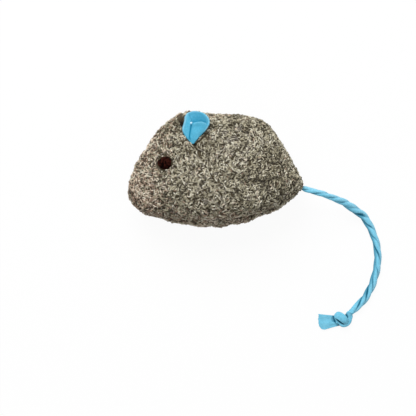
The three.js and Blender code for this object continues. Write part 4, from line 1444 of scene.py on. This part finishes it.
def catnip_leaf():
    draw = np.random.default_rng(17)
    low, high = (np.array(corner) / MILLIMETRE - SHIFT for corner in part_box("catnip_charge"))
    spread = unit(draw.normal(size=(LEAF_FLAKES, 3))) * draw.uniform(0, 1, (LEAF_FLAKES, 1)) ** (1 / 3)
    middle = (low + high) / 2 + spread * ((high - low) / 2 - LEAF_LENGTH[1] / 2)
    first = unit(draw.normal(size=(LEAF_FLAKES, 3)))
    second = unit(np.cross(first, draw.normal(size=(LEAF_FLAKES, 3))))
    third = np.cross(first, second) * LEAF_THICKNESS / 2
    first = first * draw.uniform(*LEAF_LENGTH, (LEAF_FLAKES, 1)) / 2
    second = second * draw.uniform(*LEAF_WIDTH, (LEAF_FLAKES, 1)) / 2
    corners = np.stack([middle + s * axis for axis in (first, second, third) for s in (1, -1)], axis=1)
    upper = np.array([[0, 2, 4], [2, 1, 4], [1, 3, 4], [3, 0, 4]])
    lower = np.array([[2, 0, 5], [1, 2, 5], [3, 1, 5], [0, 3, 5]])
    faces = np.vstack([upper, lower])[None] + np.arange(LEAF_FLAKES)[:, None, None] * 6
    piece = new_piece("catnip_leaf", corners.reshape(-1, 3), (), faces, CATNIP)
    stand_in(piece, "body", "catnip_charge")


catnip_leaf()


# Finish of what stays from the solids
KEPT = {
    "spine_seam_thread": SEAM_THREAD, "left_belly_seam_thread": SEAM_THREAD, "tail_sewn_end": TAIL_CLOTH,
    "right_belly_seam_thread": SEAM_THREAD, "left_dart_thread": SEAM_THREAD, "right_dart_thread": SEAM_THREAD,
}
for name, material in KEPT.items():
    materials = frame["nodes"][name].data.materials
    materials.clear()
    materials.append(material)


# Floor, light and background
FLOOR_SPAN = 4000
FLOOR_DROP = 0.05
FLOOR_GREY = (0.82, 0.82, 0.82, 1)
FLOOR_GLOW = 0.94
FILL_LIGHT = 0.5
LAMP_PLACE = Vector((-0.2, 0.65, 0.95))
LAMP_TARGET = Vector((0, 0, 0.02))
LAMP_SIZE = 0.7
LAMP_WATTS = 13


def stage_material():
    made, tree, shader = new_material("white_floor")
    path = node(tree, "ShaderNodeLightPath").outputs
    seen = maths(tree, "MAXIMUM", path["Is Camera Ray"], path["Is Glossy Ray"])
    seen = maths(tree, "MAXIMUM", seen, path["Is Transmission Ray"])
    share = maths(tree, "MULTIPLY", seen, FLOOR_GLOW)
    paint(tree, shader, FLOOR_GREY, 1.0, gloss=0.0)
    glow = node(tree, "ShaderNodeEmission", {"Color": WHITE, "Strength": 1.0})
    blend = node(tree, "ShaderNodeMixShader", {0: share, 1: shader.outputs[0], 2: glow.outputs[0]})
    tree.links.new(blend.outputs[0], tree.nodes["Material Output"].inputs["Surface"])
    return made


corners = np.array([[-1, -1, 0], [1, -1, 0], [1, 1, 0], [-1, 1, 0]]) * FLOOR_SPAN - [0, 0, FLOOR_DROP]
floor = new_piece("floor", corners, [[0, 1, 2, 3]], (), stage_material())

world = bpy.data.worlds.new("studio")
bpy.context.scene.world = world
world.use_nodes = True
sky = world.node_tree
path = node(sky, "ShaderNodeLightPath").outputs
fill = sky.nodes["Background"]
fill.inputs["Color"].default_value = WHITE
fill.inputs["Strength"].default_value = FILL_LIGHT
white = node(sky, "ShaderNodeBackground", {"Color": WHITE, "Strength": 1.0})
choice = node(sky, "ShaderNodeMixShader", {0: path["Is Camera Ray"], 1: fill.outputs[0], 2: white.outputs[0]})
sky.links.new(choice.outputs[0], sky.nodes["World Output"].inputs["Surface"])

lamp_data = bpy.data.lights.new("key", "AREA")
lamp_data.energy = LAMP_WATTS
lamp_data.size = LAMP_SIZE
lamp = new_object("key", lamp_data)
lamp.location = LAMP_PLACE
lamp.rotation_euler = (LAMP_TARGET - LAMP_PLACE).to_track_quat("-Z", "Y").to_euler()

bpy.context.scene.view_settings.view_transform = "Standard"
